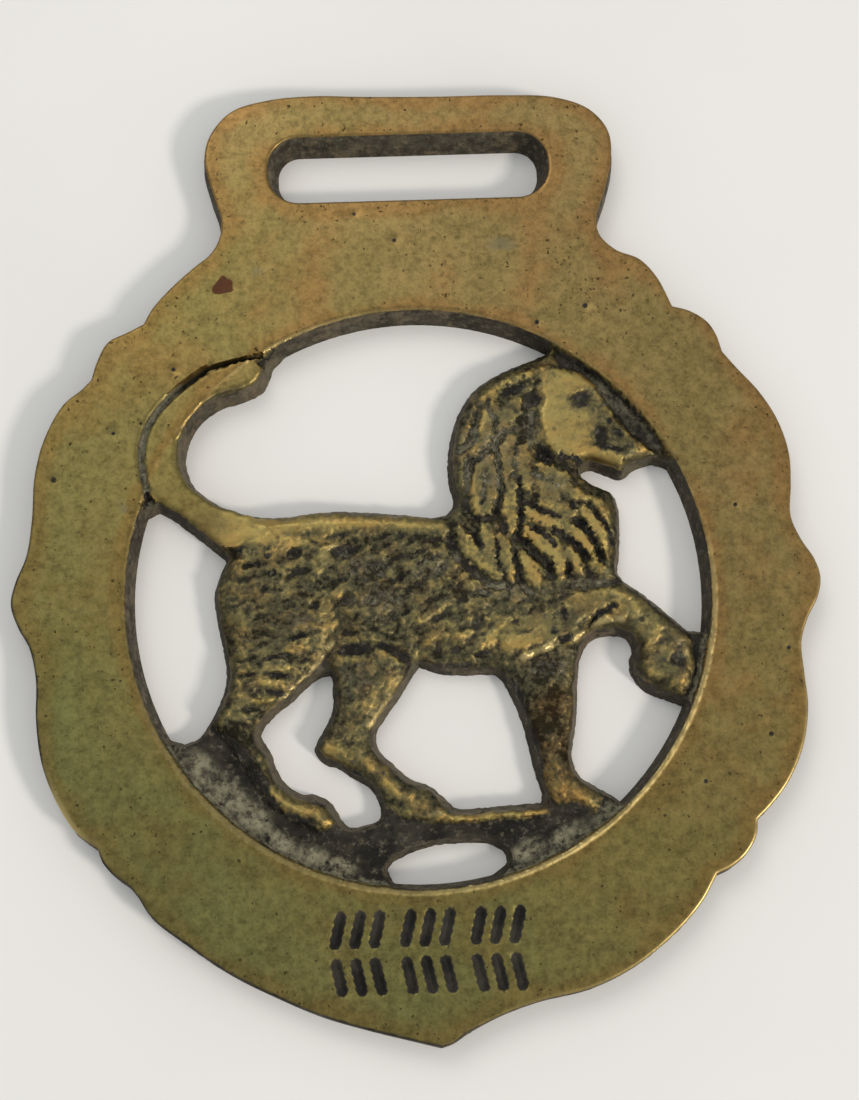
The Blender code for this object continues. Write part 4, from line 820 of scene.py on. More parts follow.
        tail_end = fade(points[:, 0] - 0.6 * points[:, 1], -27.0, -18.5)
        polished = np.where(on_ring, 1.0, (1.0 - tail_end) * fade(tail_depth, 0.0, 0.5))
        polished *= 1.0 - in_groove
        # Bright edges: rubbed by handling, and painted highlights where the edges face the key light
        wear_and_highlight = np.zeros(len(points))
        for half, bright, line in WORN_AND_HIGHLIGHT_LINES:
            away = distance_to(points, smooth_line(line, 0.5), closed=False, reach=2.5)
            wear_and_highlight = np.maximum(wear_and_highlight, bright * (1.0 - fade(away, 0.4 * half, 1.4 * half)))
        wear_and_highlight *= np.clip(0.8 + 0.7 * mottle(points, 0.7, 19.0), 0.0, 1.0)
        # The opening's rim is rubbed bright, most on the lower side; its brightening toward the right,
        # the crest, the lower-right corner of the outline and the glint are painted highlights
        rubbed = (1.0 - fade(inner_edge, 0.7 * chamfer, 1.2 * chamfer)) * on_ring
        turn = np.degrees(np.arctan2(points[:, 1], points[:, 0]))
        crest = np.exp(-((turn - CREST_TURN) / CREST_SPREAD) ** 2)
        rubbed *= (0.1 + low_side * (0.32 + 0.25 * to_right) + 0.55 * crest
                   + 0.25 * mottle(points, 0.7, 17.0))
        rubbed = np.clip(rubbed, 0.0, 1.0)
        corner = fade(0.8 * points[:, 0] - 0.6 * points[:, 1], 20.0, 40.0)
        rubbed = np.maximum(rubbed, 0.5 * corner * (1.0 - fade(outer, 0.05, 0.4)))
        glint = np.exp(-((turn - GLINT_TURN) / GLINT_SPREAD) ** 2)
        rubbed = np.maximum(rubbed, glint * (1.0 - fade(outer, 0.15, 0.5)))
        wear_and_highlight = np.maximum(wear_and_highlight, rubbed)
        filled = np.maximum(np.maximum(in_groove, near_stroke), in_pit)
        # Painted shade: a dark band along the lower-left outer rim, where the wall under it lies in
        # shade, joins the filled dirt
        low_left = fade(-0.75 * points[:, 0] - 0.65 * points[:, 1], 14.0, 26.0) * (1.0 - glint)
        ragged_rim = 0.22 + 0.1 * mottle(points, 1.1, 24.0)
        painted_rim_shade = low_left * (1.0 - fade(outer, 0.3 * ragged_rim, 1.4 * ragged_rim))
        filled = np.maximum(filled, 0.75 * painted_rim_shade)
        in_wall = (wall > 0) & ~on_ring & ~on_tail
        wall_grime = (0.9 - 0.42 * by_head(points)) * fade(ring_edge - from_middle, -0.05, 0.4)
        grime = np.where(on_ring | on_tail, 0.0, np.where(in_wall, wall_grime, grime))
        dust = np.maximum(dust, in_groove * fade(-points[:, 0], 18.0, 24.0))
        dust = np.where(in_wall, 0.9 * low_side, dust)
        edge = np.maximum(1.0 - fade(outer, 0.2, 2.4), 0.8 * (1.0 - fade(inner_edge, 0.3, 1.8)))
        at_left = fade(-points[:, 0], 6.0, 20.0) * fade(points[:, 1], -20.0, -8.0)
        edge = np.maximum(edge, 2.2 * at_left * (1.0 - fade(inner_edge, 0.2, 1.3)))
        cluster = np.exp(-(np.hypot(*(points - SPECKS_PLACE).T) / SPECKS_SPREAD) ** 2)
        specks = 0.09 + 0.12 * mottle(points, 9.0, 21.0) + 0.12 * edge + 0.6 * cluster
        wavy = points + 0.15 * np.column_stack((mottle(points, 0.5, 22.0), mottle(points, 0.5, 23.0)))
        spots = [1.0 - fade(oval_distance(wavy, *stain), 0.6, 1.2) for stain in STAINS]
        height += 0.06 * wear_and_highlight * (1.0 - polished)
        warmth = 1.0 - fade(oval_distance(points, *WARM_FORELEG), 0.8, 1.1)
        warmth = np.maximum(warmth, 0.15 * fade(tail_depth, -0.5, 0.3) * (1.0 - tail_end))
        calm = np.maximum(calm, fade(tail_depth, -0.6, 0.4))
        masks = {"warmth": warmth, "polished": polished, "wear_and_highlight": wear_and_highlight,
                 "filled": np.maximum(filled, grime), "calm": calm, "tint_and_painted_light": tint_and_painted_light * (1.0 - polished),
                 "dust": dust * (1.0 - polished), "edge": edge * on_ring,
                 "specks": specks * on_ring, "rust": spots[0], "stain": np.max(spots[1:], axis=0)}
        return np.minimum(height, THICKNESS), masks, rim


def triangulated(loops, extra):
    """Triangles over the area inside the first loop and outside the others."""
    points = [Vector(p) for loop in loops for p in loop] + [Vector(p) for p in extra]
    edges = []
    start = 0
    for loop in loops:
        count = len(loop)
        edges += [(start + i, start + (i + 1) % count) for i in range(count)]
        start += count
    verts, _, faces, _, _, _ = delaunay_2d_cdt(points, edges, [], 0, 1e-5)
    if len(verts) != len(points):
        raise RuntimeError("two outlines of the casting touch each other")
    flat = np.array([v[:] for v in verts])
    faces = np.array([f[:] for f in faces])
    return flat, faces[on_metal(flat[faces].mean(axis=1), loops)]


def front_points(plan):
    """Points inside the face's loops: rows along the edges, then a fine and two coarser grids."""
    s = plan.settings
    step = s.edge_step / MM
    rows = []
    for loop, side in [(plan.outer, -1.0)] + [(hole, 1.0) for hole in plan.faces[1:]]:
        for depth in EDGE_ROWS:
            row = grown(loop, side * depth)
            rim, outer = plan.edge_distance(row)
            rows.append(row[np.minimum(rim, outer) > 0.9 * depth])
    for radius in RIM_ROWS:
        rows.append(arc_line(0.0, 360.0, OPENING_RADIUS + radius, step)[:-1])
    ahead = np.gradient(plan.groove, axis=0)
    ahead /= np.hypot(*ahead.T)[:, None]
    side = np.column_stack((-ahead[:, 1], ahead[:, 0]))
    for offset in GROOVE_ROWS:
        rows.append(plan.groove + side * offset)
    for x, y, radius in PITS:
        at = np.radians(np.arange(0, 360, 45))
        ring = np.column_stack((np.cos(at), np.sin(at)))
        rows.append(np.vstack(((0.0, 0.0), 0.55 * radius * ring, 1.25 * radius * ring))
                    + np.array((x, y)))
    low = plan.backs[0].min(axis=0) - 1.0
    high = plan.backs[0].max(axis=0) + 1.0
    fine = hexagon_grid(low, high, s.figure_grid / MM)
    fine = fine[np.hypot(*fine.T) < OPENING_RADIUS + 0.9]
    cut = hexagon_grid(*STROKE_FIELD, STROKE_GRID)
    near_stroke = np.full(len(cut), 9.0)
    for line in plan.strokes:
        near_stroke = np.minimum(near_stroke, distance_to(cut, line, closed=False))
    cut = cut[near_stroke < 0.75]
    coarse = hexagon_grid(low, high, s.ring_grid / MM)
    coarse = coarse[np.hypot(*coarse.T) > OPENING_RADIUS + 0.9]
    every = []
    taken = {}
    cell = 0.5

    def add(points, gap, own_gap):
        rim, outer = plan.edge_distance(points)
        keep = on_metal(points, plan.faces) & (np.minimum(rim, outer) > gap)
        fresh = []
        for x, y in points[keep]:
            i, j = int(x // cell), int(y // cell)
            near = [p for a in (-1, 0, 1) for b in (-1, 0, 1) for p in taken.get((i + a, j + b), ())]
            if all((x - p[0]) ** 2 + (y - p[1]) ** 2 > own_gap ** 2 for p in near):
                fresh.append((x, y))
                taken.setdefault((i, j), []).append((x, y))
        every.extend(fresh)

    add(np.vstack(rows), 0.12, 0.11)
    add(cut, 0.3, 0.16)
    add(fine, 0.3, 0.62 * s.figure_grid / MM)
    add(coarse, 0.7, 0.42)
    return np.array(every)


def smoothed(values, edges, rounds):
    """The values averaged with their neighbours on the mesh, a number of times."""
    count = np.bincount(edges.ravel(), minlength=len(values)) + 1.0
    for _ in range(rounds):
        total = values.copy()
        total += np.bincount(edges[:, 0], weights=values[edges[:, 1]], minlength=len(values))
        total += np.bincount(edges[:, 1], weights=values[edges[:, 0]], minlength=len(values))
        values = total / count
    return values


def cast_horse_brass(settings, low, high):
    """The casting's mesh, with the masks of its finish as attributes."""
    plan = Casting(settings)
    flat, top_faces = triangulated(plan.faces, front_points(plan))
    heights, masks, rim = plan.front(flat)

    # Back: flat, with a coarse grid
    extra_back = hexagon_grid(plan.backs[0].min(axis=0), plan.backs[0].max(axis=0), BACK_GRID)
    extra_back = extra_back[on_metal(extra_back, plan.backs)]
    for loop in plan.backs:
        extra_back = extra_back[distance_to(extra_back, loop) > 0.3 * BACK_GRID]
    flat_back, back_faces = triangulated(plan.backs, extra_back)

    # Walls: strips between the two, rough from the sand mould
    shift = np.array(DRAWING_SHIFT)
    verts = [np.column_stack((flat + shift, heights))]
    faces = [top_faces]
    kinds = [np.zeros(len(top_faces), int)]
    base = len(flat)
    verts.append(np.column_stack((flat_back + shift, np.zeros(len(flat_back)))))
    painted_wall_shade = [np.zeros(base), np.zeros(len(flat_back))]
    faces.append(back_faces[:, ::-1] + base)
    kinds.append(np.full(len(back_faces), 2))
    count = base + len(flat_back)
    start = 0
    for face_loop, back_loop in zip(plan.faces, plan.backs):
        size = len(face_loop)
        index = start + np.arange(size)
        rows = [index]
        normal = loop_normals(face_loop, 1)
        run = np.cumsum(np.hypot(*(np.roll(face_loop, -1, axis=0) - face_loop).T))
        turn = 2 * math.pi * run / run[-1]
        round_run = np.column_stack((np.cos(turn), np.sin(turn))) * run[-1] / (2 * math.pi)
        outward = normal if face_loop is plan.outer else -normal
        # Painted shade on the walls: those that face away from the key light, to the left, are
        # darkened, and so are the walls of the round opening and of the opening under the feet
        facing = 0.85 * fade(-outward @ np.array((1.0, 0.15)), -0.35, 0.55)
        on_ring = fade(np.hypot(*face_loop.T), OPENING_RADIUS - 0.4, OPENING_RADIUS - 0.1)
        facing = np.maximum(facing, 0.5 * on_ring)
        if face_loop is plan.openings[-1]:
            facing = np.maximum(facing, 0.45)
        painted_wall_shade[0][index] = facing
        painted_wall_shade[1][start:start + size] = facing
        for k in range(1, WALL_STRIPS):
            share = k / WALL_STRIPS
            place = face_loop * (1 - share) + back_loop * share
            z = heights[index] * (1 - share)
            rough = mottle(round_run, 0.9, 20.0 + k) + 0.5 * mottle(round_run, 0.35, 30.0 + k)
            place = place + outward * (settings.wall_rough / MM * rough)[:, None]
            verts.append(np.column_stack((place + shift, z)))
            painted_wall_shade.append(facing)
            rows.append(count + np.arange(size))
            count += size
        rows.append(base + start + np.arange(size))
        for upper, lower in zip(rows[:-1], rows[1:]):
            a, b = upper, np.roll(upper, -1)
            c, d = lower, np.roll(lower, -1)
            faces.append(np.column_stack((a, c, b)))
            faces.append(np.column_stack((b, c, d)))
            kinds.append(np.full(2 * size, 1))
        start += size
    co = np.vstack(verts) * MM
    co = np.clip(co, np.array(low), np.array(high))
    faces = np.vstack(faces)
    kinds = np.concatenate(kinds)

    mesh = bpy.data.meshes.new("horse_brass_casting")
    mesh.vertices.add(len(co))
    mesh.vertices.foreach_set("co", co.astype(np.float32).ravel())
    mesh.loops.add(len(faces) * 3)
    mesh.loops.foreach_set("vertex_index", faces.astype(np.int32).ravel())
    mesh.polygons.add(len(faces))
    mesh.polygons.foreach_set("loop_start", np.arange(0, 3 * len(faces), 3, dtype=np.int32))
    mesh.update(calc_edges=True)
    mesh.polygons.foreach_set("material_index", kinds.astype(np.int32))
    mesh.validate()

    bm = bmesh.new()
    bm.from_mesh(mesh)
    bmesh.ops.recalc_face_normals(bm, faces=bm.faces)
    loose = [e for e in bm.edges if len(e.link_faces) != 2]
    bm.to_mesh(mesh)
    bm.free()
    if loose:
        raise RuntimeError("the casting has open edges")

    # Hollow and proud places, from the height against the height around it
    top_edges = np.unique(np.sort(np.vstack((top_faces[:, :2], top_faces[:, 1:],
                                             top_faces[:, ::2])), axis=1), axis=0)
    lift = heights - smoothed(heights, top_edges, 14)
    broad = heights - smoothed(heights, top_edges, 90)
    inner = fade(rim, 0.2, 1.3)
    masks["lift"] = np.where(lift < 0, lift * inner, lift)
    masks["broad"] = np.where(broad < 0, broad * inner, broad)
    masks["painted_wall_shade"] = np.concatenate(painted_wall_shade)
    for name, values in masks.items():
        attribute = mesh.attributes.new(name, "FLOAT", "POINT")
        every = np.zeros(len(co), np.float32)
        every[:len(values)] = values
        attribute.data.foreach_set("value", every)
    return mesh


# ---- Finish -------------------------------------------------------------------------------


class Graph:
    """Adds nodes to a tree and wires them."""

    def __init__(self, tree):
        self.tree = tree

    def node(self, kind, inputs=None, **values):
        made = self.tree.nodes.new(kind)
        for name, value in values.items():
            setattr(made, name, value)
        self.give(made, inputs or {})
        return made

    def give(self, node, inputs):
        for name, value in inputs.items():
            self.feed(node.inputs[name], value)

    def feed(self, socket, value):
        if isinstance(value, bpy.types.NodeSocket):
            self.tree.links.new(value, socket)
        else:
            socket.default_value = value

    def math(self, operation, a, b, clamp=False):
        made = self.node("ShaderNodeMath", {0: a, 1: b}, operation=operation, use_clamp=clamp)
        return made.outputs[0]

    def add(self, a, b, clamp=False):
        return self.math("ADD", a, b, clamp)

    def less(self, a, b):
        return self.math("SUBTRACT", a, b)

    def times(self, a, b, clamp=False):
        return self.math("MULTIPLY", a, b, clamp)

    def most(self, a, b, clamp=False):
        return self.math("MAXIMUM", a, b, clamp)

    def ramp(self, value, low, high, out_low=0.0, out_high=1.0):
        """The value eased from one range to another."""
        made = self.node("ShaderNodeMapRange", {"Value": value, "From Min": low, "From Max": high,
                                                "To Min": out_low, "To Max": out_high},
                         interpolation_type="SMOOTHSTEP")
        return made.outputs["Result"]

    def mix(self, factor, a, b, blend="MIX"):
        made = self.node("ShaderNodeMix", {"Factor": factor, "A": a, "B": b}, data_type="RGBA",
                         blend_type=blend)
        return made.outputs["Result"]

    def noise(self, place, scale, detail=3.0, rough=0.55):
        made = self.node("ShaderNodeTexNoise", {"Vector": place, "Scale": scale, "Detail": detail,
                                                "Roughness": rough})
        return made.outputs["Fac"]

    def group(self, tree, inputs):
        return self.node("ShaderNodeGroup", inputs, node_tree=tree)

    def mask(self, name):
        return self.node("ShaderNodeAttribute", attribute_name=name).outputs["Fac"]

    def place(self):
        return self.node("ShaderNodeTexCoord").outputs["Object"]


def new_group(name, inputs, outputs):
    """A node group; inputs whose default is a tuple, and the output Color, are colours."""
    tree = bpy.data.node_groups.new(name, "ShaderNodeTree")
    for title, default in inputs.items():
        kind = "NodeSocketColor" if isinstance(default, tuple) else "NodeSocketFloat"
        tree.interface.new_socket(title, in_out="INPUT", socket_type=kind).default_value = default
    for title in outputs:
        kind = "NodeSocketColor" if title == "Color" else "NodeSocketFloat"
        tree.interface.new_socket(title, in_out="OUTPUT", socket_type=kind)
    graph = Graph(tree)
    return tree, graph, graph.node("NodeGroupInput").outputs, graph.node("NodeGroupOutput")


def opaque(color, share=1.0):
    return (*[share * channel for channel in color], 1)


def brass_tone_group():
    """Patchy colour of old brass: warm and green clouds, brown edges, dark specks and a grain."""
    tree, g, given, out = new_group(
        "brass_tone",
        {"Brass": (0.3, 0.22, 0.07, 1), "Warm": (0.35, 0.22, 0.06, 1),
         "Green": (0.2, 0.2, 0.06, 1), "Edge": 0.0, "Specks": 0.0, "Grain": 0.1},
        ("Color", "Patch", "Speck"))
    place = g.place()
    split = g.node("ShaderNodeSeparateXYZ", {"Vector": place})
    patch = g.noise(place, 55.0, 4.0, 0.6)
    mid = g.noise(place, 190.0, 5.0, 0.6)
    fine = g.noise(place, 600.0, 5.0, 0.65)
    grain = g.noise(place, 1400.0, 6.0, 0.78)
    cloud = g.add(g.times(patch, 0.64), g.times(mid, 0.31))
    lean = g.add(g.times(split.outputs["X"], 5.5), g.times(split.outputs["Y"], 6.5))
    warm = g.ramp(g.add(cloud, lean), 0.38, 0.82)
    green = g.ramp(g.less(cloud, lean), 0.45, 0.9)
    tone = g.mix(warm, given["Brass"], given["Warm"])
    tone = g.mix(green, tone, given["Green"])
    drift = g.noise(place, 105.0, 5.0, 0.62)
    rust = g.add(g.times(mid, 0.45), g.times(drift, 0.6))
    rust = g.add(rust, g.times(given["Edge"], 0.18))
    rust = g.less(rust, g.times(lean, 0.06))
    tone = g.mix(g.times(g.ramp(rust, 0.5, 0.68), 0.8), tone,
                 g.mix(1.0, tone, (1.0, 0.80, 0.74, 1), blend="MULTIPLY"))
    shade = g.add(g.ramp(mid, 0.3, 0.7, 0.94, 1.06), g.ramp(fine, 0.3, 0.7, -0.07, 0.06))
    grained = g.times(g.ramp(grain, 0.35, 0.65, -1.0, 1.0), given["Grain"])
    shade = g.add(shade, grained)
    scaled = g.node("ShaderNodeVectorMath", {0: tone, "Scale": shade}, operation="SCALE")

    # Specks of three sizes, with ragged outlines
    specks = []
    shift = g.node("ShaderNodeTexNoise", {"Vector": place, "Scale": 3000.0, "Detail": 2.0})
    small = g.node("ShaderNodeVectorMath", {0: shift.outputs["Color"], "Scale": 0.0006},
                   operation="SCALE")
    wobble = g.node("ShaderNodeVectorMath", {0: place, 1: small.outputs[0]}, operation="ADD")
    for scale, size, share in ((700.0, 0.16, 0.35), (1500.0, 0.24, 0.8), (2700.0, 0.32, 1.2)):
        cells = g.node("ShaderNodeTexVoronoi", {"Vector": wobble.outputs[0], "Scale": scale})
        pick = g.node("ShaderNodeSeparateColor", {"Color": cells.outputs["Color"]})
        reach = g.times(pick.outputs["Green"], size)
        dot = g.ramp(g.less(cells.outputs["Distance"], reach), 0.06, -0.02)
        chosen = g.math("LESS_THAN", pick.outputs["Red"], g.times(given["Specks"], share))
        specks.append(g.times(dot, chosen))
    speck = g.most(g.most(specks[0], specks[1]), specks[2])
    fleck = g.times(g.ramp(grain, 0.42, 0.34), given["Grain"])
    speck = g.add(g.times(speck, 0.75), fleck, True)
    g.give(out, {"Color": g.mix(speck, scaled.outputs[0], (0.035, 0.024, 0.012, 1)),
                 "Patch": fine, "Speck": speck})
    return tree


def grime_group():
    """Dark dirt and pale dust that settle in the hollows of the carving; on the front, Filled also
    brings painted shade along the lower-left rim.
    """
    tree, g, given, out = new_group(
        "hollow_grime",
        {"Lift": 0.0, "Broad": 0.0, "Filled": 0.0, "Amount": 1.0, "Dust": 0.5, "Crumbs": 1.0},
        ("Dirt", "Color"))
    place = g.place()
    break_up = g.noise(place, 900.0, 5.0, 0.7)
    cloud = g.noise(place, 260.0, 4.0, 0.6)
    ragged = g.times(g.less(break_up, 0.5), 0.12)
    low = g.less(g.add(given["Lift"], ragged), 0.012)
    fine = g.ramp(low, -0.04, -0.25)
    wide = g.ramp(g.add(given["Broad"], ragged), -0.12, -0.5)
    dirt = g.most(fine, g.times(wide, 0.85))
    dirt = g.times(dirt, given["Amount"], True)
    filled = g.add(given["Filled"], g.times(ragged, 5.0))
    dirt = g.most(dirt, g.ramp(filled, 0.25, 0.75), True)
    black = g.mix(g.ramp(cloud, 0.4, 0.62), (0.011, 0.0088, 0.006, 1), (0.038, 0.031, 0.022, 1))
    grey = g.mix(g.ramp(break_up, 0.3, 0.7), (0.12, 0.108, 0.068, 1), (0.29, 0.26, 0.162, 1))
    crumb = g.noise(place, 1300.0, 5.0, 0.75)
    crumbs = g.times(g.ramp(crumb, 0.53, 0.64), given["Crumbs"])
    spark = g.mix(crumbs, black, (0.105, 0.09, 0.06, 1))
    dusty = g.add(g.times(break_up, 0.4), g.times(crumb, 0.6))
    dusty = g.times(g.ramp(dusty, 0.38, 0.54), given["Dust"], True)
    g.give(out, {"Dirt": dirt, "Color": g.mix(dusty, spark, grey)})
    return tree


def cast_skin_group():
    """Height of the sand-cast skin: grit, small pits and broad waves."""
    tree, g, given, out = new_group(
        "cast_skin", {"Grit": 0.5, "Pits": 0.5, "Grit Scale": 2200.0}, ("Height", "Pit"))
    place = g.place()
    grit = g.noise(place, given["Grit Scale"], 4.0, 0.65)
    cells = g.node("ShaderNodeTexVoronoi", {"Vector": place, "Scale": 1100.0})
    pick = g.node("ShaderNodeSeparateColor", {"Color": cells.outputs["Color"]})
    hole = g.times(g.ramp(cells.outputs["Distance"], 0.34, 0.12),
                   g.ramp(pick.outputs["Red"], 0.72, 0.8))
    height = g.times(grit, given["Grit"])
    height = g.less(height, g.times(hole, given["Pits"]))
    g.give(out, {"Height": height, "Pit": hole})
    return tree


def start_material(name):
    material = bpy.data.materials.new(name)
    material.use_nodes = True
    g = Graph(material.node_tree)
    return material, g, material.node_tree.nodes["Principled BSDF"]


def worn_front_material(settings, groups):
    """Front of the casting: polished ring and tail, rough dirty lion, painted highlights on edges."""
    material, g, shader = start_material("aged_brass_front")
    place = g.place()
    polished = g.mask("polished")
    wear_and_highlight = g.mask("wear_and_highlight")
    calm = g.mask("calm")
    lift = g.mask("lift")
    figure = g.less(1.0, polished)
    tone = g.group(groups["tone"], {
        "Brass": opaque(settings.face_brass), "Warm": opaque(settings.warm_brass),
        "Green": opaque(settings.green_brass), "Grain": 0.23, "Edge": g.mask("edge"),
        "Specks": g.mask("specks")})
    grime = g.group(groups["grime"], {
        "Lift": lift, "Broad": g.mask("broad"), "Filled": g.mask("filled"),
        "Dust": g.mask("dust"), "Amount": g.ramp(polished, 0.0, 1.0, 1.0, 0.1), "Crumbs": figure})
    skin = g.group(groups["skin"], {"Grit": 0.5, "Pits": 0.6})
    rough_skin = g.times(figure, g.less(1.0, g.times(calm, 0.7)))

    # The lion: dark where it is low, rubbed to brass where it stands proud
    crumbs = g.noise(place, 2100.0, 4.0, 0.7)
    patches = g.noise(place, 650.0, 4.0, 0.65)
    # The tint mask also carries painted light on the mane's locks
    value = g.add(g.times(lift, 3.0), g.mask("tint_and_painted_light"))
    noisy = g.add(g.times(g.less(crumbs, 0.5), 1.6), g.times(g.less(patches, 0.52), 2.1))
    quiet = g.less(1.0, g.times(calm, 0.65))
    value = g.add(value, g.times(noisy, quiet))
    lion = g.mix(g.ramp(value, -0.45, -0.05), opaque(settings.lion_dark), opaque(settings.dull_brass))
    lion = g.mix(g.ramp(value, -0.05, 0.4), lion, opaque(settings.lion_brass))
    lion = g.mix(g.ramp(value, 0.4, 0.9), lion, opaque(settings.lion_bright))
    hue = g.noise(place, 430.0, 4.0, 0.65)
    brown = g.mix(1.0, lion, (1.06, 0.95, 0.85, 1), blend="MULTIPLY")
    lion = g.mix(1.0, lion, (0.98, 1.0, 0.95, 1), blend="MULTIPLY")
    lion = g.mix(g.ramp(hue, 0.42, 0.62), lion, brown)
    lion = g.mix(g.times(g.ramp(crumbs, 0.40, 0.30), 0.6), lion, opaque(settings.dull_brass))
    film = g.times(g.ramp(crumbs, 0.42, 0.62), g.mask("dust"))
    lion = g.mix(g.times(film, 0.42), lion, (0.14, 0.127, 0.105, 1))
    color = g.mix(figure, tone.outputs["Color"], lion)
    color = g.mix(g.mask("warmth"), color,
                  g.mix(1.0, color, (1.08, 0.93, 0.84, 1), blend="MULTIPLY"))
    eaten = g.add(g.mask("rust"), g.times(g.less(patches, 0.5), 1.5))
    color = g.mix(g.times(g.ramp(eaten, 0.35, 0.6), 0.92), color, (0.075, 0.025, 0.016, 1))
    color = g.mix(g.times(g.mask("stain"), 0.4), color, (0.14, 0.15, 0.11, 1))
    # Rubbed brass and painted highlights along edges are mixed in here
    color = g.mix(g.times(wear_and_highlight, 0.85, True), color, opaque(settings.bright_brass))
    dirt = grime.outputs["Dirt"]
    pit = g.times(skin.outputs["Pit"], g.add(g.times(rough_skin, 0.75), 0.15))
    dirt = g.most(dirt, pit, True)
    dirt = g.times(dirt, g.less(1.0, g.times(wear_and_highlight, 0.8)))
    color = g.mix(dirt, color, grime.outputs["Color"])
    base_rough = g.ramp(tone.outputs["Patch"], 0.3, 0.7, 0.38, 0.5)
    base_rough = g.add(base_rough, g.times(rough_skin, 0.06))
    base_rough = g.add(base_rough, g.times(tone.outputs["Speck"], 0.2))
    base_rough = g.less(base_rough, g.times(wear_and_highlight, 0.18))
    lumps = g.add(patches, g.times(crumbs, 0.9))
    height = g.add(skin.outputs["Height"], g.times(lumps, dirt))
    height = g.times(height, g.add(g.times(rough_skin, 0.9), 0.05))
    bump = g.node("ShaderNodeBump", {"Height": height, "Distance": 0.0002, "Strength": 0.9})
    g.give(shader, {"Base Color": color, "Metallic": g.ramp(dirt, 0.1, 0.9, 1.0, 0.1),
                    "Roughness": g.add(base_rough, g.times(dirt, 0.25)),
                    "Specular IOR Level": 0.25, "Normal": bump.outputs["Normal"]})
    return material


def cast_wall_material(settings, groups, name, amount):
    """Walls and back: never polished, dark and gritty, with painted shade on walls that face away from
    the key light.
    """
    material, g, shader = start_material(name)
    brass = settings.wall_brass
    tone = g.group(groups["tone"], {"Brass": opaque(brass), "Warm": opaque(brass, 1.15),
                                    "Green": opaque(brass, 0.85), "Grain": 0.3})
    painted_wall_shade = g.mask("painted_wall_shade")
    dust = g.times(g.less(1.0, painted_wall_shade), 0.4)
    grime = g.group(groups["grime"], {"Dust": dust, "Amount": amount})
    skin = g.group(groups["skin"], {"Grit": 0.9, "Pits": 0.7})
    cloud = g.ramp(tone.outputs["Patch"], 0.35, 0.6)
    dirt = g.most(g.times(cloud, 0.8), skin.outputs["Pit"], True)
    dirt = g.times(dirt, amount, True)
    # Painted shade: the walls' shade mask darkens them here as if it were dirt
    dirt = g.most(dirt, g.ramp(g.add(painted_wall_shade, cloud), 0.5, 1.1), True)
    dirt = g.times(dirt, 0.88)
    color = g.mix(dirt, tone.outputs["Color"], grime.outputs["Color"])
    bump = g.node("ShaderNodeBump", {"Height": skin.outputs["Height"], "Distance": 0.00012,
                                     "Strength": 0.9})
    g.give(shader, {"Base Color": color, "Metallic": g.ramp(dirt, 0.1, 0.9, 0.4, 0.1),
                    "Roughness": g.ramp(dirt, 0.0, 1.0, 0.6, 0.85),
                    "Specular IOR Level": 0.25, "Normal": bump.outputs["Normal"]})
    return material


def floor_material(settings):
    material, g, shader = start_material("pale_board")
    cloud = g.noise(g.place(), 14.0, 3.0, 0.5)
    color = g.mix(g.ramp(cloud, 0.35, 0.65), opaque(settings.floor), opaque(settings.floor, 0.96))
    g.give(shader, {"Base Color": color, "Roughness": g.ramp(cloud, 0.3, 0.7, 0.55, 0.65),
                    "Specular IOR Level": 0.3})
    return material


# ---- Settings -----------------------------------------------------------------------------


def length_property(name, description, default, low, high):
    return bpy.props.FloatProperty(name=name, description=description, default=default, min=low,
                                   max=high, precision=5, subtype="DISTANCE", unit="LENGTH")


def color_property(name, description, default):
    return bpy.props.FloatVectorProperty(name=name, description=description, default=default,
                                         size=3, min=0.0, max=1.0, subtype="COLOR")


class HorseBrassCasting(bpy.types.PropertyGroup):
    figure_grid: length_property("Lion grid", "Spacing of the mesh on the lion", 0.0002,
                                 0.0001, 0.001)
    ring_grid: length_property("Ring grid", "Spacing of the mesh on the ring", 0.0007,
                               0.0003, 0.003)
    edge_step: length_property("Edge step", "Spacing of the mesh along the edges", 0.0003,
                               0.0002, 0.001)
    edge_round: length_property("Edge round", "Width of the rubbed edge of the ring", 0.00045,
                                0.0001, 0.001)
    edge_drop: length_property("Edge drop", "How far the rubbed edge falls", 0.0003,
                               0.00005, 0.001)
    lock_width: length_property("Lock width", "Width of a lock of the mane", 0.0013,
                                0.0005, 0.002)
    lock_rise: length_property("Lock rise", "How far a lock stands over the mane", 0.00028,
                               0.0, 0.001)
    lock_gap: length_property("Lock gap", "How deep the gaps between locks are", 0.00024,
                              0.0, 0.001)
    fur_depth: length_property("Fur depth", "Height of the coat's lumps", 0.00036, 0.0, 0.0005)
    wall_rough: length_property("Wall roughness", "Unevenness of the cast walls", 0.00006,
                                0.0, 0.0003)
    stroke_length: length_property("Stroke length", "Length of a cut stroke", 0.0024,
                                   0.001, 0.004)
    stroke_width: length_property("Stroke width", "Width of a cut stroke", 0.0009,
                                  0.0003, 0.0015)
    stroke_depth: length_property("Stroke depth", "Depth of a cut stroke", 0.0004,
                                  0.0001, 0.001)


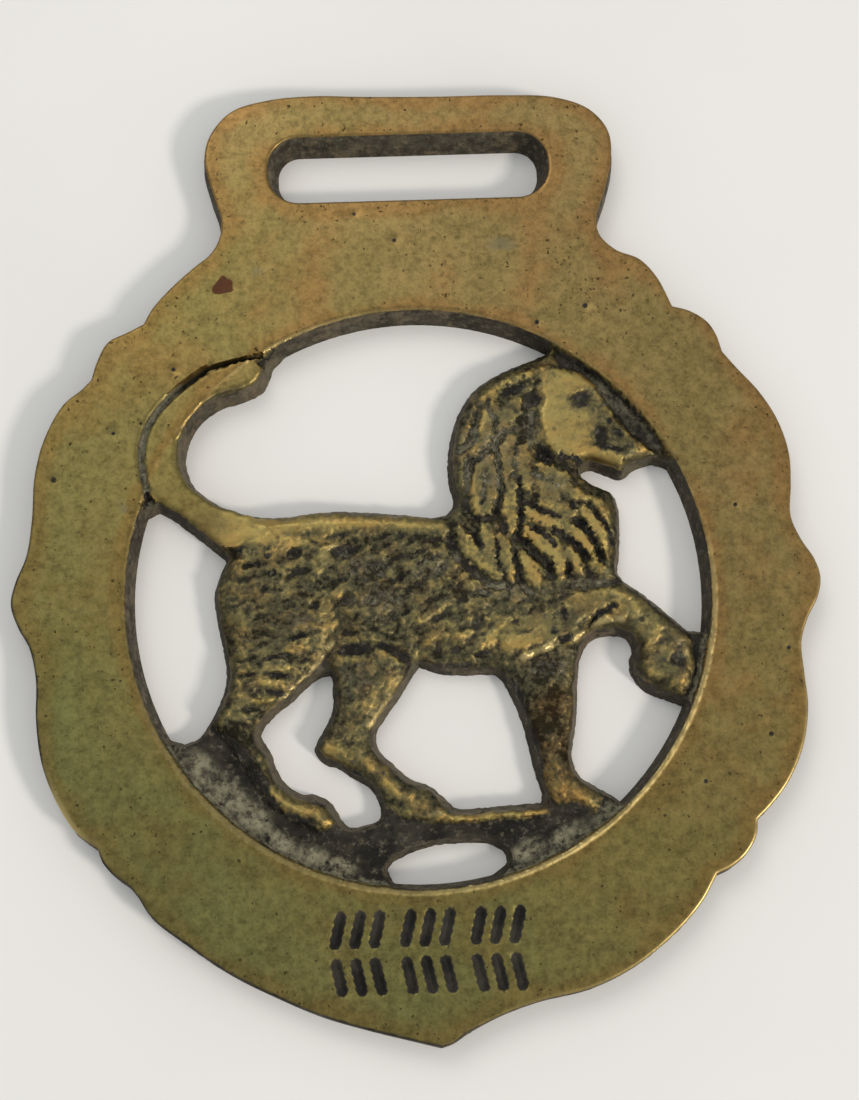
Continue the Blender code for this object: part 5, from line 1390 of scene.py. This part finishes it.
class HorseBrassFinish(bpy.types.PropertyGroup):
    face_brass: color_property("Face", "Brass of the rubbed face", (0.218, 0.17, 0.055))
    warm_brass: color_property("Warm", "Warmer patches of the face", (0.285, 0.198, 0.073))
    green_brass: color_property("Green", "Greener patches of the face", (0.168, 0.162, 0.056))
    # Bright is the brass of rubbed edges and also the colour of painted highlights
    bright_brass: color_property("Bright", "Brass rubbed bright on edges", (0.58, 0.44, 0.185))
    lion_bright: color_property("Rubbed", "Brass of the lion where it is rubbed", (0.40, 0.292, 0.102))
    lion_brass: color_property("Lion", "Brass of the lion's proud places", (0.20, 0.16, 0.07))
    dull_brass: color_property("Dull", "Tarnished brass of the lion", (0.09, 0.079, 0.046))
    lion_dark: color_property("Dark", "Darkest tarnish of the lion", (0.028, 0.024, 0.015))
    wall_brass: color_property("Walls", "Brass of the cast walls", (0.14, 0.108, 0.064))


class HorseBrassStage(bpy.types.PropertyGroup):
    floor: color_property("Floor", "Colour of the floor", (0.86, 0.82, 0.77))
    key_power: bpy.props.FloatProperty(name="Key power", description="Power of the main light",
                                       default=7.4, min=0.0, max=100.0, unit="POWER")
    key_size: length_property("Key size", "Side of the main light's square", 0.18, 0.05, 2.0)
    sky: bpy.props.FloatProperty(name="Sky", description="Strength of the soft light all round",
                                 default=0.63, min=0.0, max=5.0)
    overhead: bpy.props.FloatProperty(name="Overhead", description="Power of the soft box behind",
                                      default=4.1, min=0.0, max=100.0, unit="POWER")
    lens: bpy.props.FloatProperty(name="Lens", description="Focal length", default=56.75,
                                  min=10.0, max=200.0, unit="CAMERA")


class HORSEBRASS_OT_casting(bpy.types.Operator):
    """Build the casting over the CAD solid and give it its aged finish"""
    bl_idname = "horse_brass.casting"
    bl_label = "Casting"

    def execute(self, context):
        bpy.ops.object.select_all(action="DESELECT")
        finish = context.scene.horse_brass_finish
        mesh = cast_horse_brass(context.scene.horse_brass_casting, *CAD_BOX)
        casting = bpy.data.objects.new("horse_brass_casting", mesh)
        context.scene.collection.objects.link(casting)
        context.view_layer.objects.active = casting
        casting.select_set(True)
        bpy.ops.object.shade_smooth_by_angle(angle=math.radians(SMOOTH_ANGLE))
        groups = {"tone": brass_tone_group(), "grime": grime_group(), "skin": cast_skin_group()}
        mesh.materials.append(worn_front_material(finish, groups))
        mesh.materials.append(cast_wall_material(finish, groups, "cast_brass_wall", 0.75))
        mesh.materials.append(cast_wall_material(finish, groups, "cast_brass_back", 0.6))
        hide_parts("horse_brass")
        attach(casting, "root")
        bpy.ops.object.select_all(action="DESELECT")
        return {"FINISHED"}


class HORSEBRASS_OT_stage(bpy.types.Operator):
    """Set the pale floor, the soft lights and the camera"""
    bl_idname = "horse_brass.stage"
    bl_label = "Stage"

    def execute(self, context):
        stage = context.scene.horse_brass_stage
        bpy.ops.object.select_all(action="DESELECT")
        bpy.ops.mesh.primitive_plane_add(size=FLOOR_SIZE, location=(0.0, 0.0, -FLOOR_GAP))
        floor = context.object
        floor.name = "floor"
        floor.data.materials.append(floor_material(stage))

        for name, place, size, power, color in (
                ("key_light", KEY_LIGHT_PLACE, stage.key_size, stage.key_power, (1.0, 0.94, 0.87)),
                ("soft_box", SOFT_BOX_PLACE, SOFT_BOX_SIZE, stage.overhead, (1.0, 0.98, 0.94))):
            bpy.ops.object.light_add(type="AREA", location=place)
            light = context.object
            light.name = name
            light.data.size = size
            light.data.energy = power
            light.data.color = color
            light.rotation_euler = Vector(place).to_track_quat("Z", "Y").to_euler()

        world = bpy.data.worlds.new("soft_room")
        context.scene.world = world
        world.use_nodes = True
        background = world.node_tree.nodes["Background"]
        background.inputs["Color"].default_value = (0.89, 0.95, 1.0, 1)
        background.inputs["Strength"].default_value = stage.sky

        bpy.ops.object.camera_add(location=CAMERA_PLACE)
        camera = context.object
        camera.name = "camera"
        camera.rotation_euler = Matrix(CAMERA_AXES).transposed().to_euler()
        camera.data.sensor_width = 36.0
        camera.data.sensor_fit = "AUTO"
        camera.data.lens = stage.lens
        camera.data.clip_start = 0.001
        context.scene.camera = camera
        context.scene.view_settings.view_transform = "Standard"
        bpy.ops.object.select_all(action="DESELECT")
        return {"FINISHED"}


class HORSEBRASS_PT_panel(bpy.types.Panel):
    """Settings of the horse brass"""
    bl_idname = "HORSEBRASS_PT_panel"
    bl_label = "Horse brass"
    bl_space_type = "VIEW_3D"
    bl_region_type = "UI"
    bl_category = "Horse brass"

    def draw(self, context):
        for title, settings, operator in (
                ("Casting", context.scene.horse_brass_casting, "horse_brass.casting"),
                ("Finish", context.scene.horse_brass_finish, None),
                ("Stage", context.scene.horse_brass_stage, "horse_brass.stage")):
            box = self.layout.box()
            box.label(text=title)
            for name in settings.bl_rna.properties.keys():
                if name not in ("rna_type", "name"):
                    box.prop(settings, name)
            if operator:
                box.operator(operator)


CLASSES = (HorseBrassCasting, HorseBrassFinish, HorseBrassStage, HORSEBRASS_OT_casting,
           HORSEBRASS_OT_stage, HORSEBRASS_PT_panel)
SETTINGS = {"horse_brass_casting": HorseBrassCasting, "horse_brass_finish": HorseBrassFinish,
            "horse_brass_stage": HorseBrassStage}


def register():
    for cls in CLASSES:
        bpy.utils.register_class(cls)
    for name, cls in SETTINGS.items():
        setattr(bpy.types.Scene, name, bpy.props.PointerProperty(type=cls))


def unregister():
    for name in SETTINGS:
        delattr(bpy.types.Scene, name)
    for cls in reversed(CLASSES):
        bpy.utils.unregister_class(cls)


def main():
    register()
    bpy.ops.horse_brass.stage()
    bpy.ops.horse_brass.casting()


if __name__ == "__main__":
    main()
